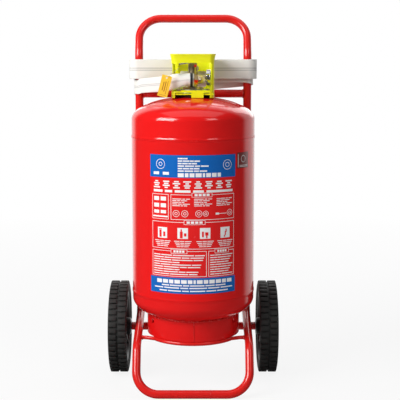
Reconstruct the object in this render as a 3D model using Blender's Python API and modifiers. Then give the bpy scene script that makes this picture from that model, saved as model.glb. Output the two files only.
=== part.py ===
"""Wheeled powder fire extinguisher: tank, tube frame, two wheels, valve, hose and nozzle.

Metres, +Z up. The front faces -Y and the origin is on the floor, under the middle of the box
round the whole object. The tank is built up from the axle that its skirt stands on.
"""

import math

import bmesh
import bpy
from mathutils import Matrix, Vector

for old in list(bpy.data.objects):
    bpy.data.objects.remove(old, do_unlink=True)

GAP = 0.0003  # left between pieces that touch
RUN_FIT = 0.00008  # round a shaft that turns

# Tank
TANK_R = 0.160
TANK_WALL = 0.003
BARREL_LENGTH = 0.4045
TOP_FLANGE = 0.045
TOP_DOME = 0.0585
BOTTOM_FLANGE = 0.020
BOTTOM_DOME = 0.0615
SKIRT_R = 0.122
SKIRT_WALL = 0.0025
SKIRT_HEIGHT = 0.055
VENT_R = 0.006
VENT_ANGLE = 60.0

# Frame and wheels
FRAME_R = 0.011
SKIRT_CLEAR = 0.012
TANK_CLEAR = 0.0051
SADDLE_RISE = 0.0055
HANDLE_LEAN = 25.0
HANDLE_RISE = 0.094
LEAN_ABOVE_HOSE = 0.0145
HANDLE_CORNER_R = 0.058
FOOT_CORNER_R = 0.058
FOOT_REACH = 0.160
KNEE_REACH = 0.105
RUN_REAR_ABOVE_AXLE = 0.040
RUN_FRONT_BELOW_AXLE = 0.005
TUBE_JOINT_ABOVE_RUN = 0.050
CRADLE_R = 0.005
WHEEL_R = 0.125
WHEEL_WIDTH = 0.050
TYRE_DEPTH = 0.027
AXLE_BEHIND = 0.086
AXLE_TUBE_R = 0.011
SHAFT_R = 0.008
AXLE_TUBE_PAST_TANK = 0.010
WASHER_T = 0.0016
HUB_R = 0.023
HUB_LENGTH = 0.054
CAP_R = 0.0125
CAP_PROUD = 0.0068

# Neck, valve and gauge
NECK_R = 0.030
NECK_BORE_R = 0.0235
NECK_FLANGE_R = 0.037
NECK_FLANGE_T = 0.0055
GUARD_T = 0.003
RING_NUT_R = 0.043
RING_NUT_T = 0.0105
COLUMN_R = 0.013
COLUMN_HEIGHT = 0.0530
CHAMBER_R = 0.0095
STEM_R = 0.0042
STEM_TRAVEL = 0.004
SPRING_WIRE_R = 0.0007
OUTLET_RISE = 0.0200
OUTLET_X = 0.0228
OUTLET_Y = 0.036
OUTLET_R = 0.0095
SPIGOT_LENGTH = 0.0133
NUT_R = 0.0150
GAUGE_R = 0.022
GAUGE_T = 0.012
GAUGE_X = 0.0335
GAUGE_Y = 0.004
LEVER_LENGTH = 0.0340
LEVER_WIDTH = 0.0105
EAR_T = 0.003
PIN_R = 0.0025

# Guard and tag
GUARD_HALF = 0.0545
GUARD_FLARE = 0.004
GUARD_HEIGHT = 0.110
GUARD_CORNER = 0.014
TAG_WIDTH = 0.027
TAG_LENGTH = 0.055
TAG_T = 0.001

# Hose
HOSE_WIDTH = 0.053
HOSE_T = 0.0023
HOSE_TURNS = 5
HOSE_ABOVE_NECK = 0.0690
HOSE_END_R = 0.0165
HOSE_TAIL_POINTS = 16
NOZZLE_R = 0.0135
NOZZLE_LENGTH = 0.150

# Places worked out from the sizes above
FRAME_HALF = SKIRT_R + SKIRT_CLEAR + FRAME_R
UPRIGHT_BEHIND = math.sqrt((TANK_R + TANK_CLEAR + FRAME_R) ** 2 - FRAME_HALF**2)
AXIS_Y = (FOOT_REACH + FRAME_R - AXLE_BEHIND - WHEEL_R) / 2
UPRIGHT_Y = AXIS_Y + UPRIGHT_BEHIND
AXLE_Y = AXIS_Y + AXLE_BEHIND
AXLE_Z = WHEEL_R
AXLE_TUBE_HALF = TANK_R + AXLE_TUBE_PAST_TANK
SKIRT_BOTTOM = AXLE_Z + AXLE_TUBE_R + GAP
BARREL_BOTTOM = (
    SKIRT_BOTTOM
    + SKIRT_HEIGHT
    + GAP
    + BOTTOM_DOME * math.sqrt(1 - (SKIRT_R / TANK_R) ** 2)
    + BOTTOM_FLANGE
)
BARREL_TOP = BARREL_BOTTOM + BARREL_LENGTH
DOME_BASE = BARREL_TOP + TOP_FLANGE
DOME_TOP = DOME_BASE + TOP_DOME


def dome_z(distance):
    """Height of the top head's outside at a distance from the tank's axis."""
    return DOME_BASE + TOP_DOME * math.sqrt(max(0.0, 1 - (distance / TANK_R) ** 2))


NECK_TOP = dome_z(NECK_R) + GAP + NECK_FLANGE_T
GUARD_FLOOR = NECK_TOP + GAP
RING_NUT_BOTTOM = GUARD_FLOOR + GUARD_T + GAP
BODY_FLANGE = RING_NUT_BOTTOM + RING_NUT_T + GAP
BODY_BOTTOM = NECK_TOP - 0.022
BODY_TOP = BODY_FLANGE + 0.004 + COLUMN_HEIGHT
OUTLET_Z = BODY_FLANGE + 0.004 + OUTLET_RISE
PIVOT_X, PIVOT_Z = -0.004, BODY_TOP + 0.0085
CROSS_BAR_Z = dome_z(UPRIGHT_BEHIND) + SADDLE_RISE + FRAME_R
HOSE_Z = DOME_TOP + HOSE_ABOVE_NECK
LEAN_Z = HOSE_Z + HOSE_WIDTH / 2 + LEAN_ABOVE_HOSE
HANDLE_Z = LEAN_Z + HANDLE_RISE
HANDLE_Y = UPRIGHT_Y + HANDLE_RISE * math.tan(math.radians(HANDLE_LEAN))
RUN_REAR_Z = AXLE_Z + RUN_REAR_ABOVE_AXLE
RUN_FRONT_Z = AXLE_Z - RUN_FRONT_BELOW_AXLE
RUN_SLOPE = (RUN_REAR_Z - RUN_FRONT_Z) / (UPRIGHT_BEHIND + KNEE_REACH)
TUBE_JOINT_Z = RUN_REAR_Z + TUBE_JOINT_ABOVE_RUN


parts = bpy.data.collections.new("wheeled_fire_extinguisher")
cutters = bpy.data.collections.new("cutters")
bpy.context.scene.collection.children.link(parts)
bpy.context.scene.collection.children.link(cutters)


def finish(name, colour, roughness, metallic=0.0):
    made = bpy.data.materials.new(name)
    made.use_nodes = True
    shader = made.node_tree.nodes["Principled BSDF"]
    shader.inputs["Base Color"].default_value = (*colour, 1.0)
    shader.inputs["Roughness"].default_value = roughness
    shader.inputs["Metallic"].default_value = metallic
    return made


RED = finish("red_paint", (0.62, 0.012, 0.014), 0.18)
BRASS = finish("brass", (0.66, 0.45, 0.20), 0.28, 1.0)
CHROME = finish("chrome", (0.75, 0.75, 0.76), 0.10, 1.0)
STEEL = finish("zinc_steel", (0.52, 0.53, 0.55), 0.35, 1.0)
BLACK = finish("black_plastic", (0.02, 0.02, 0.022), 0.45)
RUBBER = finish("black_rubber", (0.025, 0.025, 0.025), 0.75)
HOSE_CLOTH = finish("white_hose", (0.80, 0.80, 0.77), 0.80)
GUARD_PLASTIC = finish("yellow_guard", (0.75, 0.86, 0.01), 0.40)
TAG_PLASTIC = finish("orange_tag", (0.95, 0.55, 0.03), 0.50)
SEAL_PLASTIC = finish("red_plastic", (0.75, 0.03, 0.02), 0.40)
WHITE = finish("white_dial", (0.85, 0.85, 0.84), 0.50)
CLEAR = finish("clear_lens", (0.90, 0.92, 0.93), 0.05)


def place(mesh, name, material, at=(0, 0, 0), turn=None, group=parts):
    """Put a mesh in the scene as an object of its own; turn is a rotation matrix."""
    obj = bpy.data.objects.new(name, mesh)
    obj.location = at
    if turn is not None:
        obj.rotation_euler = turn.to_euler()
    group.objects.link(obj)
    if material is not None:
        mesh.materials.append(material)
    if group is cutters:
        obj.hide_render = True
        obj.display_type = "WIRE"
    return obj


def towards(direction):
    """Rotation that turns +Z to a direction."""
    return Vector(direction).to_track_quat("Z", "Y").to_matrix().to_4x4()


def turned(name, profile, material, at, along=(0, 0, 1), steps=32, group=parts):
    """A profile of (radius, height), down its outer side, turned about its own axis."""
    mesh = bpy.data.meshes.new(name)
    closed = min(profile[0][0], profile[-1][0]) > 0
    count = len(profile)
    edges = [(i, (i + 1) % count) for i in range(count if closed else count - 1)]
    mesh.from_pydata([(r, 0, z) for r, z in profile], edges, [])
    turn = None if tuple(along) == (0, 0, 1) else towards(along)
    obj = place(mesh, name, material, at, turn, group)
    screw = obj.modifiers.new("turn", "SCREW")
    screw.steps = screw.render_steps = steps
    screw.use_merge_vertices = True
    screw.merge_threshold = 0.00005
    return obj


def ring(name, outer, inner, low, high, material, at, along=(0, 0, 1), steps=32, group=parts):
    """A plain ring or tube between two heights on its axis."""
    profile = [(outer, high), (outer, low), (inner, low), (inner, high)]
    return turned(name, profile, material, at, along, steps, group)


def disc(name, radius, low, high, material, at, along=(0, 0, 1), steps=32, group=parts):
    """A plain solid disc or rod between two heights on its axis."""
    profile = [(0, high), (radius, high), (radius, low), (0, low)]
    return turned(name, profile, material, at, along, steps, group)


def rod(name, start, end, radius, material, steps=16, group=parts):
    """A solid round rod between two points."""
    run = Vector(end) - Vector(start)
    return disc(name, radius, 0, run.length, material, start, run, steps, group)


def block(name, low, high, material, group=parts, bevel=0.0):
    """A box between two corners, with its edges rounded by bevel."""
    bm = bmesh.new()
    bmesh.ops.create_cube(bm, size=1.0)
    size = Vector(high) - Vector(low)
    bmesh.ops.scale(bm, vec=size, verts=bm.verts)
    mesh = bpy.data.meshes.new(name)
    bm.to_mesh(mesh)
    bm.free()
    obj = place(mesh, name, material, (Vector(high) + Vector(low)) / 2, None, group)
    if bevel:
        edge = obj.modifiers.new("edges", "BEVEL")
        edge.width = bevel
        edge.segments = 2
    return obj


def combine(obj, other, operation):
    """Cut other from obj, or join it on, with a Boolean modifier."""
    step = obj.modifiers.new(operation.lower(), "BOOLEAN")
    step.operation = operation
    step.object = other


def fillet(corners, radii, step=18.0):
    """Points along straight lines between corners, with an arc of each radius at each corner."""
    points = [Vector(corners[0])]
    for before, corner, after, radius in zip(corners, corners[1:], corners[2:], radii):
        corner = Vector(corner)
        back = (Vector(before) - corner).normalized()
        ahead = (Vector(after) - corner).normalized()
        half = back.angle(ahead) / 2
        middle = corner + (back + ahead).normalized() * (radius / math.sin(half))
        first = corner + back * (radius / math.tan(half)) - middle
        last = corner + ahead * (radius / math.tan(half)) - middle
        count = max(2, math.ceil(math.degrees(first.angle(last)) / step))
        first.normalize()
        last.normalize()
        points += [middle + first.slerp(last, i / count) * radius for i in range(count + 1)]
    return points + [Vector(corners[-1])]


def bent_tube(name, points, radius, material, resolution=4):
    """A bent round tube along points, with filled ends."""
    curve = bpy.data.curves.new(name, "CURVE")
    curve.dimensions = "3D"
    curve.bevel_depth = radius
    curve.bevel_resolution = resolution
    curve.use_fill_caps = True
    spline = curve.splines.new("POLY")
    spline.points.add(len(points) - 1)
    for point, place_of in zip(spline.points, points):
        point.co = (*place_of, 1.0)
    obj = bpy.data.objects.new(name, curve)
    if material is not None:
        curve.materials.append(material)
    parts.objects.link(obj)
    return obj


def solid_tube(name, points, radius):
    """A bent tube as a closed mesh among the cutters, to be joined to a body."""
    tube = bent_tube(name + "_curve", points, radius, None)
    bpy.context.view_layer.update()
    ready = tube.evaluated_get(bpy.context.evaluated_depsgraph_get())
    mesh = bpy.data.meshes.new_from_object(ready)
    bm = bmesh.new()
    bm.from_mesh(mesh)
    bmesh.ops.remove_doubles(bm, verts=bm.verts, dist=0.00005)
    bm.to_mesh(mesh)
    bm.free()
    bpy.data.objects.remove(tube, do_unlink=True)
    return place(mesh, name, None, group=cutters)


def smooth_route(corners, step):
    """A Catmull-Rom curve through the corners, with points about step apart."""
    knots = [Vector(c) for c in corners]
    knots = [2 * knots[0] - knots[1], *knots, 2 * knots[-1] - knots[-2]]
    points = []
    for a, b, c, d in zip(knots, knots[1:], knots[2:], knots[3:]):
        count = max(1, round((c - b).length / step))
        for i in range(count):
            t = i / count
            points.append(
                0.5 * (2 * b + (c - a) * t + (2 * a - 5 * b + 4 * c - d) * t**2
                       + (3 * b - a - 3 * c + d) * t**3)
            )
    return points + [knots[-2]]


def resampled(points, count):
    """The same route with a count of points evenly spaced along it."""
    along = [0.0]
    for a, b in zip(points, points[1:]):
        along.append(along[-1] + (b - a).length)
    spaced = []
    for i in range(count):
        where = along[-1] * i / (count - 1)
        k = min(len(points) - 2, max(0, sum(1 for x in along if x <= where) - 1))
        share = (where - along[k]) / (along[k + 1] - along[k])
        spaced.append(points[k].lerp(points[k + 1], share))
    return spaced


def at_key(keys, where):
    """Straight-line value between (place, value) keys."""
    for (a, low), (b, high) in zip(keys, keys[1:]):
        if where <= b:
            return low + (high - low) * max(0.0, where - a) / (b - a)
    return keys[-1][1]


def arc(centre, radius, start, end, count):
    """Points of a circle's arc in degrees, both ends counted, as pairs."""
    angles = [math.radians(start + (end - start) * i / (count - 1)) for i in range(count)]
    return [(centre[0] + radius * math.cos(a), centre[1] + radius * math.sin(a)) for a in angles]


# Frame: a handle bow on two uprights, and a bow from their feet down to the floor.


def make_frame():
    sides = (-FRAME_HALF, FRAME_HALF)
    for side, x in zip(("left", "right"), sides):
        ends = [(x, UPRIGHT_Y, TUBE_JOINT_Z + GAP), (x, UPRIGHT_Y, HOSE_Z)]
        bent_tube(side + "_upright", ends, FRAME_R, RED)
    handle = [(sides[0], UPRIGHT_Y, HOSE_Z + GAP), (sides[0], UPRIGHT_Y, LEAN_Z)]
    handle += [(sides[0], HANDLE_Y, HANDLE_Z), (sides[1], HANDLE_Y, HANDLE_Z)]
    handle += [(sides[1], UPRIGHT_Y, LEAN_Z), (sides[1], UPRIGHT_Y, HOSE_Z + GAP)]
    radii = (0.06, HANDLE_CORNER_R, HANDLE_CORNER_R, 0.06)
    bent_tube("handle_bow", fillet(handle, radii), FRAME_R, RED)

    knee_y = AXIS_Y - KNEE_REACH
    foot_y = AXIS_Y - FOOT_REACH
    half = [(sides[0], UPRIGHT_Y, TUBE_JOINT_Z), (sides[0], UPRIGHT_Y, RUN_REAR_Z)]
    half += [(sides[0], knee_y, RUN_FRONT_Z), (sides[0], foot_y, FRAME_R)]
    foot = half + [(-x, y, z) for x, y, z in reversed(half)]
    radii = (0.032, 0.035, FOOT_CORNER_R, FOOT_CORNER_R, 0.035, 0.032)
    bent_tube("foot_bow", fillet(foot, radii, 22.5), FRAME_R, RED)

    reach = FRAME_HALF - FRAME_R - GAP
    bar = rod("cross_bar", (-reach, UPRIGHT_Y, CROSS_BAR_Z), (reach, UPRIGHT_Y, CROSS_BAR_Z), FRAME_R, RED)
    saddle = block(
        "tank_saddle",
        (-0.030, UPRIGHT_Y - 0.007, dome_z(UPRIGHT_BEHIND + 0.02)),
        (0.030, UPRIGHT_Y + 0.007, CROSS_BAR_Z),
        RED,
    )
    combine(saddle, rod("bar_room", (-1, UPRIGHT_Y, CROSS_BAR_Z), (1, UPRIGHT_Y, CROSS_BAR_Z),
                        FRAME_R + GAP, None, 24, cutters), "DIFFERENCE")
    above = block("bar_top_room", (-1, UPRIGHT_Y - 0.1, CROSS_BAR_Z - 0.005),
                  (1, UPRIGHT_Y + 0.1, CROSS_BAR_Z + 0.1), None, cutters)
    combine(saddle, above, "DIFFERENCE")
    room = [(0, TOP_DOME + GAP)]
    for i in range(1, 25):
        angle = math.radians(90 - 90 * i / 24)
        room.append(((TANK_R + GAP) * math.cos(angle), (TOP_DOME + GAP) * math.sin(angle)))
    room += [(TANK_R + GAP, -0.05), (0, -0.05)]
    combine(saddle, turned("dome_room", room, None, (0, AXIS_Y, DOME_BASE), (0, 0, 1), 64, cutters),
            "DIFFERENCE")
    return bar


def make_cradle():
    """Bent rod under the front of the skirt, with its ends against the side runs."""
    height = SKIRT_BOTTOM - GAP - CRADLE_R
    end_y = UPRIGHT_Y - (RUN_REAR_Z - height) / RUN_SLOPE
    reach = FRAME_HALF - FRAME_R - GAP
    bend_r = SKIRT_R - CRADLE_R / 2
    bend = [(x, AXIS_Y + y, height) for x, y in arc((0, 0), bend_r, 214, 326, 15)]
    lead = reach - 0.010
    route = [(-reach, end_y, height), (-lead, end_y, height), *bend]
    route += [(lead, end_y, height), (reach, end_y, height)]
    bent_tube("cradle_bar", route, CRADLE_R, RED, 3)


def make_axle():
    centre = (0, AXLE_Y, AXLE_Z)
    ring("axle_tube", AXLE_TUBE_R, SHAFT_R + GAP, -AXLE_TUBE_HALF, AXLE_TUBE_HALF, RED, centre,
         (1, 0, 0), 24)
    shaft_half = AXLE_TUBE_HALF + 2 * (WASHER_T + GAP) + GAP + HUB_LENGTH + CAP_PROUD - 0.002
    disc("axle_shaft", SHAFT_R, -shaft_half, shaft_half, STEEL, centre, (1, 0, 0), 24)
    lug_r = AXLE_TUBE_R + 0.008
    under_run = (FRAME_R + GAP) * math.sqrt(1 + RUN_SLOPE**2)
    for side, sign in (("left", -1), ("right", 1)):
        outline = bpy.data.curves.new(side + "_axle_lug", "CURVE")
        outline.dimensions = "2D"
        outline.fill_mode = "BOTH"
        outline.extrude = 0.003
        edge = [(y, RUN_REAR_Z - (UPRIGHT_BEHIND - y) * RUN_SLOPE - under_run)
                for y in (AXLE_BEHIND - 0.036, AXLE_BEHIND - 0.010)]
        edge += arc((AXLE_BEHIND, AXLE_Z), lug_r, 62, -180, 12)
        hole = arc((AXLE_BEHIND, AXLE_Z), AXLE_TUBE_R + GAP, 0, 345, 24)
        for loop in (edge, hole):
            spline = outline.splines.new("POLY")
            spline.points.add(len(loop) - 1)
            spline.use_cyclic_u = True
            for point, (y, z) in zip(spline.points, loop):
                point.co = (y, z, 0, 1)
        lug = bpy.data.objects.new(side + "_axle_lug", outline)
        lug.matrix_world = Matrix(
            ((0, 0, 1, sign * FRAME_HALF), (1, 0, 0, AXIS_Y), (0, 1, 0, 0), (0, 0, 0, 1))
        )
        outline.materials.append(RED)
        parts.objects.link(lug)


def make_wheel(side, sign):
    """Solid tyre on a moulded rim, with a bush on the shaft, a washer each side and an end cap."""
    along = (sign, 0, 0)
    hub_start = AXLE_TUBE_HALF + GAP + WASHER_T + GAP
    middle = hub_start + HUB_LENGTH / 2 + 0.003
    centre = (sign * middle, AXLE_Y, AXLE_Z)
    half = WHEEL_WIDTH / 2
    tread = WHEEL_R
    seat = WHEEL_R - TYRE_DEPTH
    tyre = [(tread - 0.006, half), (tread - 0.0008, half - 0.005), (tread, 0.0035)]
    tyre += [(tread - 0.005, 0.0025), (tread - 0.005, -0.0025), (tread, -0.0035)]
    tyre += [(tread - 0.0008, -half + 0.005), (tread - 0.006, -half), (seat, -half + 0.003)]
    tyre += [(seat, half - 0.003)]
    turned(side + "_tyre", tyre, RUBBER, centre, along, 36)
    lip = seat - GAP
    bush_r = SHAFT_R + 0.003
    hub_low, hub_high = hub_start - middle, hub_start + HUB_LENGTH - middle
    rim = [(HUB_R, hub_high), (HUB_R, 0.004), (lip - 0.009, 0.004), (lip - 0.006, half - 0.005)]
    rim += [(lip, half - 0.004), (lip, -half + 0.004), (lip - 0.006, -half + 0.005)]
    rim += [(lip - 0.009, -0.004), (HUB_R, -0.004), (HUB_R, hub_low), (bush_r + GAP, hub_low)]
    rim += [(bush_r + GAP, hub_high)]
    turned(side + "_rim", rim, BLACK, centre, along, 36)
    ring(side + "_wheel_bush", bush_r, SHAFT_R + RUN_FIT, hub_low, hub_high, BRASS, centre, along, 24)
    washer_r = HUB_R - 0.003
    ring(side + "_inner_washer", washer_r, SHAFT_R + GAP, 0, WASHER_T, STEEL,
         (sign * (AXLE_TUBE_HALF + GAP), AXLE_Y, AXLE_Z), along, 24)
    outside = hub_start + HUB_LENGTH + GAP
    ring(side + "_outer_washer", washer_r, SHAFT_R + GAP, 0, WASHER_T, STEEL,
         (sign * outside, AXLE_Y, AXLE_Z), along, 24)
    floor = CAP_PROUD - 0.0017
    cap = [(0, CAP_PROUD), (CAP_R - 0.001, CAP_PROUD), (CAP_R, CAP_PROUD - 0.001), (CAP_R, 0)]
    cap += [(SHAFT_R + GAP, 0), (SHAFT_R + GAP, floor), (0, floor)]
    turned(side + "_axle_cap", cap, RED, (sign * (outside + WASHER_T + GAP), AXLE_Y, AXLE_Z),
           along, 24)


# Tank: barrel, two pressed heads, the skirt that it stands on, the neck and the dip tube.


def ellipse(radius, rise, start, end, count, sign=1):
    """Points (radius, height) of a quarter ellipse between two distances from the axis."""
    first, last = math.acos(start / radius), math.acos(end / radius)
    angles = [first + (last - first) * i / (count - 1) for i in range(count)]
    return [(radius * math.cos(a), sign * rise * math.sin(a)) for a in angles]


def make_tank():
    inner = TANK_R - TANK_WALL
    ring("tank_barrel", TANK_R, inner, BARREL_BOTTOM, BARREL_TOP, RED, (0, AXIS_Y, 0), steps=40)
    base = -TOP_FLANGE + GAP
    top = ellipse(TANK_R, TOP_DOME, NECK_R, TANK_R, 9) + [(TANK_R, base), (inner, base)]
    top += ellipse(inner, TOP_DOME - TANK_WALL, inner, NECK_R, 7)
    turned("tank_top_head", top, RED, (0, AXIS_Y, DOME_BASE), steps=40)
    base = BOTTOM_FLANGE - GAP
    low = ellipse(inner, BOTTOM_DOME - TANK_WALL, 0, inner, 7, -1) + [(inner, base), (TANK_R, base)]
    low += ellipse(TANK_R, BOTTOM_DOME, TANK_R, 0, 9, -1)
    low[0], low[-1] = (0, low[0][1]), (0, low[-1][1])
    turned("tank_bottom_head", low, RED, (0, AXIS_Y, BARREL_BOTTOM - BOTTOM_FLANGE), steps=40)

    skirt_in = SKIRT_R - SKIRT_WALL
    flange = BARREL_BOTTOM - BOTTOM_FLANGE

    def under_dome(distance):
        return flange - BOTTOM_DOME * math.sqrt(1 - (distance / TANK_R) ** 2) - GAP

    profile = [(SKIRT_R, under_dome(SKIRT_R)), (SKIRT_R, SKIRT_BOTTOM), (skirt_in, SKIRT_BOTTOM)]
    profile += [(skirt_in, under_dome(skirt_in))]
    skirt = turned("base_skirt", profile, RED, (0, AXIS_Y, 0), steps=40)
    height = SKIRT_BOTTOM + SKIRT_HEIGHT - VENT_R - 0.008
    for side, sign in (("left", -1), ("right", 1)):
        angle = math.radians(VENT_ANGLE)
        out = Vector((sign * math.sin(angle), -math.cos(angle), 0))
        start = Vector((0, AXIS_Y, height)) + out * (SKIRT_R - 0.02)
        combine(skirt, rod(side + "_vent_cut", start, start + out * 0.04, VENT_R, None, 16, cutters),
                "DIFFERENCE")

    under = NECK_TOP - NECK_FLANGE_T
    neck = [(NECK_FLANGE_R, NECK_TOP), (NECK_FLANGE_R, under), (NECK_R - GAP, under)]
    neck += [(NECK_R - GAP, under - 0.012), (NECK_BORE_R, under - 0.012), (NECK_BORE_R, NECK_TOP)]
    turned("neck_ring", neck, RED, (0, AXIS_Y, 0))
    dip_end = BARREL_BOTTOM - BOTTOM_FLANGE - BOTTOM_DOME + TANK_WALL + 0.012
    ring("dip_tube", 0.0125, 0.0107, dip_end, BODY_BOTTOM - GAP, STEEL, (0, AXIS_Y, 0), steps=16)


# Valve: a brass body clamped by the ring nut, with the lever on top and the spring below.


def make_valve():
    centre = (0, AXIS_Y, 0)
    plug = NECK_BORE_R - GAP
    bore = STEM_R + RUN_FIT
    chamber_top = BODY_FLANGE + 0.008
    profile = [(COLUMN_R, BODY_TOP), (COLUMN_R, BODY_FLANGE + 0.004), (0.027, BODY_FLANGE + 0.004)]
    profile += [(0.027, BODY_FLANGE), (plug, BODY_FLANGE), (plug, BODY_BOTTOM)]
    profile += [(CHAMBER_R, BODY_BOTTOM), (CHAMBER_R, chamber_top), (bore, chamber_top)]
    profile += [(bore, BODY_TOP)]
    body = turned("valve_body", profile, BRASS, centre, steps=20)
    elbow = Vector((OUTLET_X, AXIS_Y - OUTLET_Y, OUTLET_Z))
    corners = [Vector((COLUMN_R * 0.5, AXIS_Y, OUTLET_Z)), Vector((OUTLET_X, AXIS_Y, OUTLET_Z))]
    corners += [elbow, elbow - Vector((SPIGOT_LENGTH, 0, 0))]
    bend = OUTLET_R + 0.0002
    pieces = [solid_tube("outlet_arm", fillet(corners, (bend, bend), 30.0), OUTLET_R),
              rod("gauge_port", (0.008, AXIS_Y + GAUGE_Y, OUTLET_Z + 0.005),
                  (GAUGE_X - GAP, AXIS_Y + GAUGE_Y, OUTLET_Z + 0.005), 0.006, None, 12, cutters)]
    for sign in (-1, 1):
        inside = AXIS_Y + sign * (LEVER_WIDTH / 2 + GAP)
        outside = inside + sign * EAR_T
        pieces.append(block("ear_plate", (-0.0125, min(inside, outside), BODY_TOP - 0.004),
                            (0.0105, max(inside, outside), PIVOT_Z + 0.0065), None, cutters, 0.0015))
    for piece in pieces:
        combine(body, piece, "UNION")
    pin_reach = LEVER_WIDTH / 2 + EAR_T + 0.002
    hole = rod("pivot_cut", (PIVOT_X, AXIS_Y - 0.03, PIVOT_Z), (PIVOT_X, AXIS_Y + 0.03, PIVOT_Z),
               PIN_R + GAP, None, 16, cutters)
    combine(body, hole, "DIFFERENCE")
    lock_x, lock_z = 0.0062, BODY_TOP + 0.0022
    lock_r = 0.0014
    lock_hole = rod("lock_cut", (lock_x, AXIS_Y - 0.03, lock_z), (lock_x, AXIS_Y + 0.03, lock_z),
                    lock_r + RUN_FIT, None, 12, cutters)
    combine(body, lock_hole, "DIFFERENCE")

    ring("ring_nut", RING_NUT_R, plug + GAP, RING_NUT_BOTTOM, RING_NUT_BOTTOM + RING_NUT_T, STEEL,
         centre, steps=32)
    seat_low = chamber_top - STEM_TRAVEL - 0.010
    stem = [(0, BODY_TOP + 0.0018), (STEM_R, BODY_TOP + 0.0018), (STEM_R, seat_low + 0.006)]
    stem += [(CHAMBER_R - 0.001, seat_low + 0.005), (CHAMBER_R - 0.001, seat_low), (0, seat_low)]
    turned("valve_stem", stem, CHROME, centre, steps=16)
    ring("spring_retainer", CHAMBER_R - GAP, 0.004, BODY_BOTTOM, BODY_BOTTOM + 0.003, BRASS,
         centre, steps=16)
    coil_r, coils = 0.0062, 3
    low = BODY_BOTTOM + 0.003 + GAP + SPRING_WIRE_R
    high = seat_low - GAP - SPRING_WIRE_R
    helix = []
    for i in range(coils * 10 + 1):
        angle = 2 * math.pi * i / 10
        height = low + (high - low) * i / (coils * 10)
        helix.append((coil_r * math.cos(angle), AXIS_Y + coil_r * math.sin(angle), height))
    bent_tube("valve_spring", helix, SPRING_WIRE_R, STEEL, 1)

    pivot = Vector((PIVOT_X, AXIS_Y, PIVOT_Z))
    lever = rod("lever", pivot - Vector((0, LEVER_WIDTH / 2, 0)), pivot + Vector((0, LEVER_WIDTH / 2, 0)),
                0.0055, CHROME, 20)
    half = LEVER_WIDTH / 2 - 0.0004
    arm = block("lever_arm", (-LEVER_LENGTH, -half, 0.0005), (-0.001, half, 0.0038), None, cutters, 0.001)
    arm.location += pivot
    arm.location.z -= math.sin(math.radians(8)) * LEVER_LENGTH / 2
    arm.rotation_euler = (0, math.radians(-8), 0)
    hook = rod("lever_hook", pivot + Vector((-LEVER_LENGTH + 0.001, -half, -0.0028)),
               pivot + Vector((-LEVER_LENGTH + 0.001, half, -0.0028)), 0.0028, None, 12, cutters)
    for piece in (arm, hook):
        combine(lever, piece, "UNION")
    combine(lever, rod("lever_cut", pivot - Vector((0, 0.02, 0)), pivot + Vector((0, 0.02, 0)),
                       PIN_R + RUN_FIT, None, 16, cutters), "DIFFERENCE")
    rod("lever_pin", pivot - Vector((0, pin_reach, 0)), pivot + Vector((0, pin_reach, 0)), PIN_R, STEEL)

    reach = COLUMN_R + 0.0025
    pin = rod("safety_pin", (lock_x, AXIS_Y - reach - 0.001, lock_z), (lock_x, AXIS_Y + reach, lock_z),
              lock_r, STEEL, 12)
    loop_r = 0.008
    loop = [(loop_r * math.cos(a), loop_r * math.sin(a)) for a in
            (2 * math.pi * i / 20 for i in range(20))]
    mesh = bpy.data.meshes.new("pull_ring")
    bm = bmesh.new()
    wire_r = 0.0009
    rings = [[bm.verts.new((x * (1 + wire_r / loop_r * math.cos(b)), wire_r * math.sin(b),
                            y * (1 + wire_r / loop_r * math.cos(b))))
              for b in (2 * math.pi * j / 6 for j in range(6))] for x, y in loop]
    for one, two in zip(rings, rings[1:] + rings[:1]):
        for j in range(6):
            bm.faces.new((one[j], one[(j + 1) % 6], two[(j + 1) % 6], two[j]))
    bmesh.ops.recalc_face_normals(bm, faces=bm.faces)
    bm.to_mesh(mesh)
    bm.free()
    ring_part = place(mesh, "pull_ring", None, (lock_x, AXIS_Y + reach - 0.0005, lock_z - loop_r + 0.0008),
                      None, cutters)
    combine(pin, ring_part, "UNION")
    disc("seal_cap", 0.0036, 0, 0.004, SEAL_PLASTIC, (lock_x, AXIS_Y - reach - 0.001 - GAP, lock_z),
         (0, -1, 0), 16)


def make_gauge():
    """Pressure gauge on the side port, with its face turned to +X."""
    centre = (GAUGE_X, AXIS_Y + GAUGE_Y, OUTLET_Z + 0.005)
    side = (1, 0, 0)
    floor = GAUGE_T - 0.006
    case = [(0, floor), (GAUGE_R - 0.002, floor), (GAUGE_R - 0.002, GAUGE_T), (GAUGE_R, GAUGE_T)]
    case += [(GAUGE_R, 0.002), (GAUGE_R - 0.002, 0), (0, 0)]
    turned("gauge_case", case, CHROME, centre, side, 32)
    inside = GAUGE_R - 0.002 - GAP
    disc("gauge_dial", inside, floor + GAP, floor + GAP + 0.0008, WHITE, centre, side, 32)
    disc("gauge_lens", inside, GAUGE_T - 0.0018, GAUGE_T - 0.0004, CLEAR, centre, side, 32)
    base = floor + 0.0008 + 2 * GAP
    needle = disc("gauge_needle", 0.0022, base, base + 0.0012, BLACK, centre, side, 16)
    x = GAUGE_X + base
    blade = block("needle_blade", (x + 0.0002, centre[1] - 0.0006, centre[2] - 0.004),
                  (x + 0.0010, centre[1] + 0.0006, centre[2] + inside - 0.004), None, cutters)
    combine(needle, blade, "UNION")


# Guard: a flared square shell round the valve, open on top, with windows and a hose notch.


def rounded_square(half, corner, count=4):
    """Points of a square with round corners, as pairs, anticlockwise."""
    points = []
    for i, (sx, sy) in enumerate(((1, 1), (-1, 1), (-1, -1), (1, -1))):
        middle = (sx * (half - corner), sy * (half - corner))
        points += arc(middle, corner, 90 * i, 90 * i + 90, count)
    return points


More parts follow.
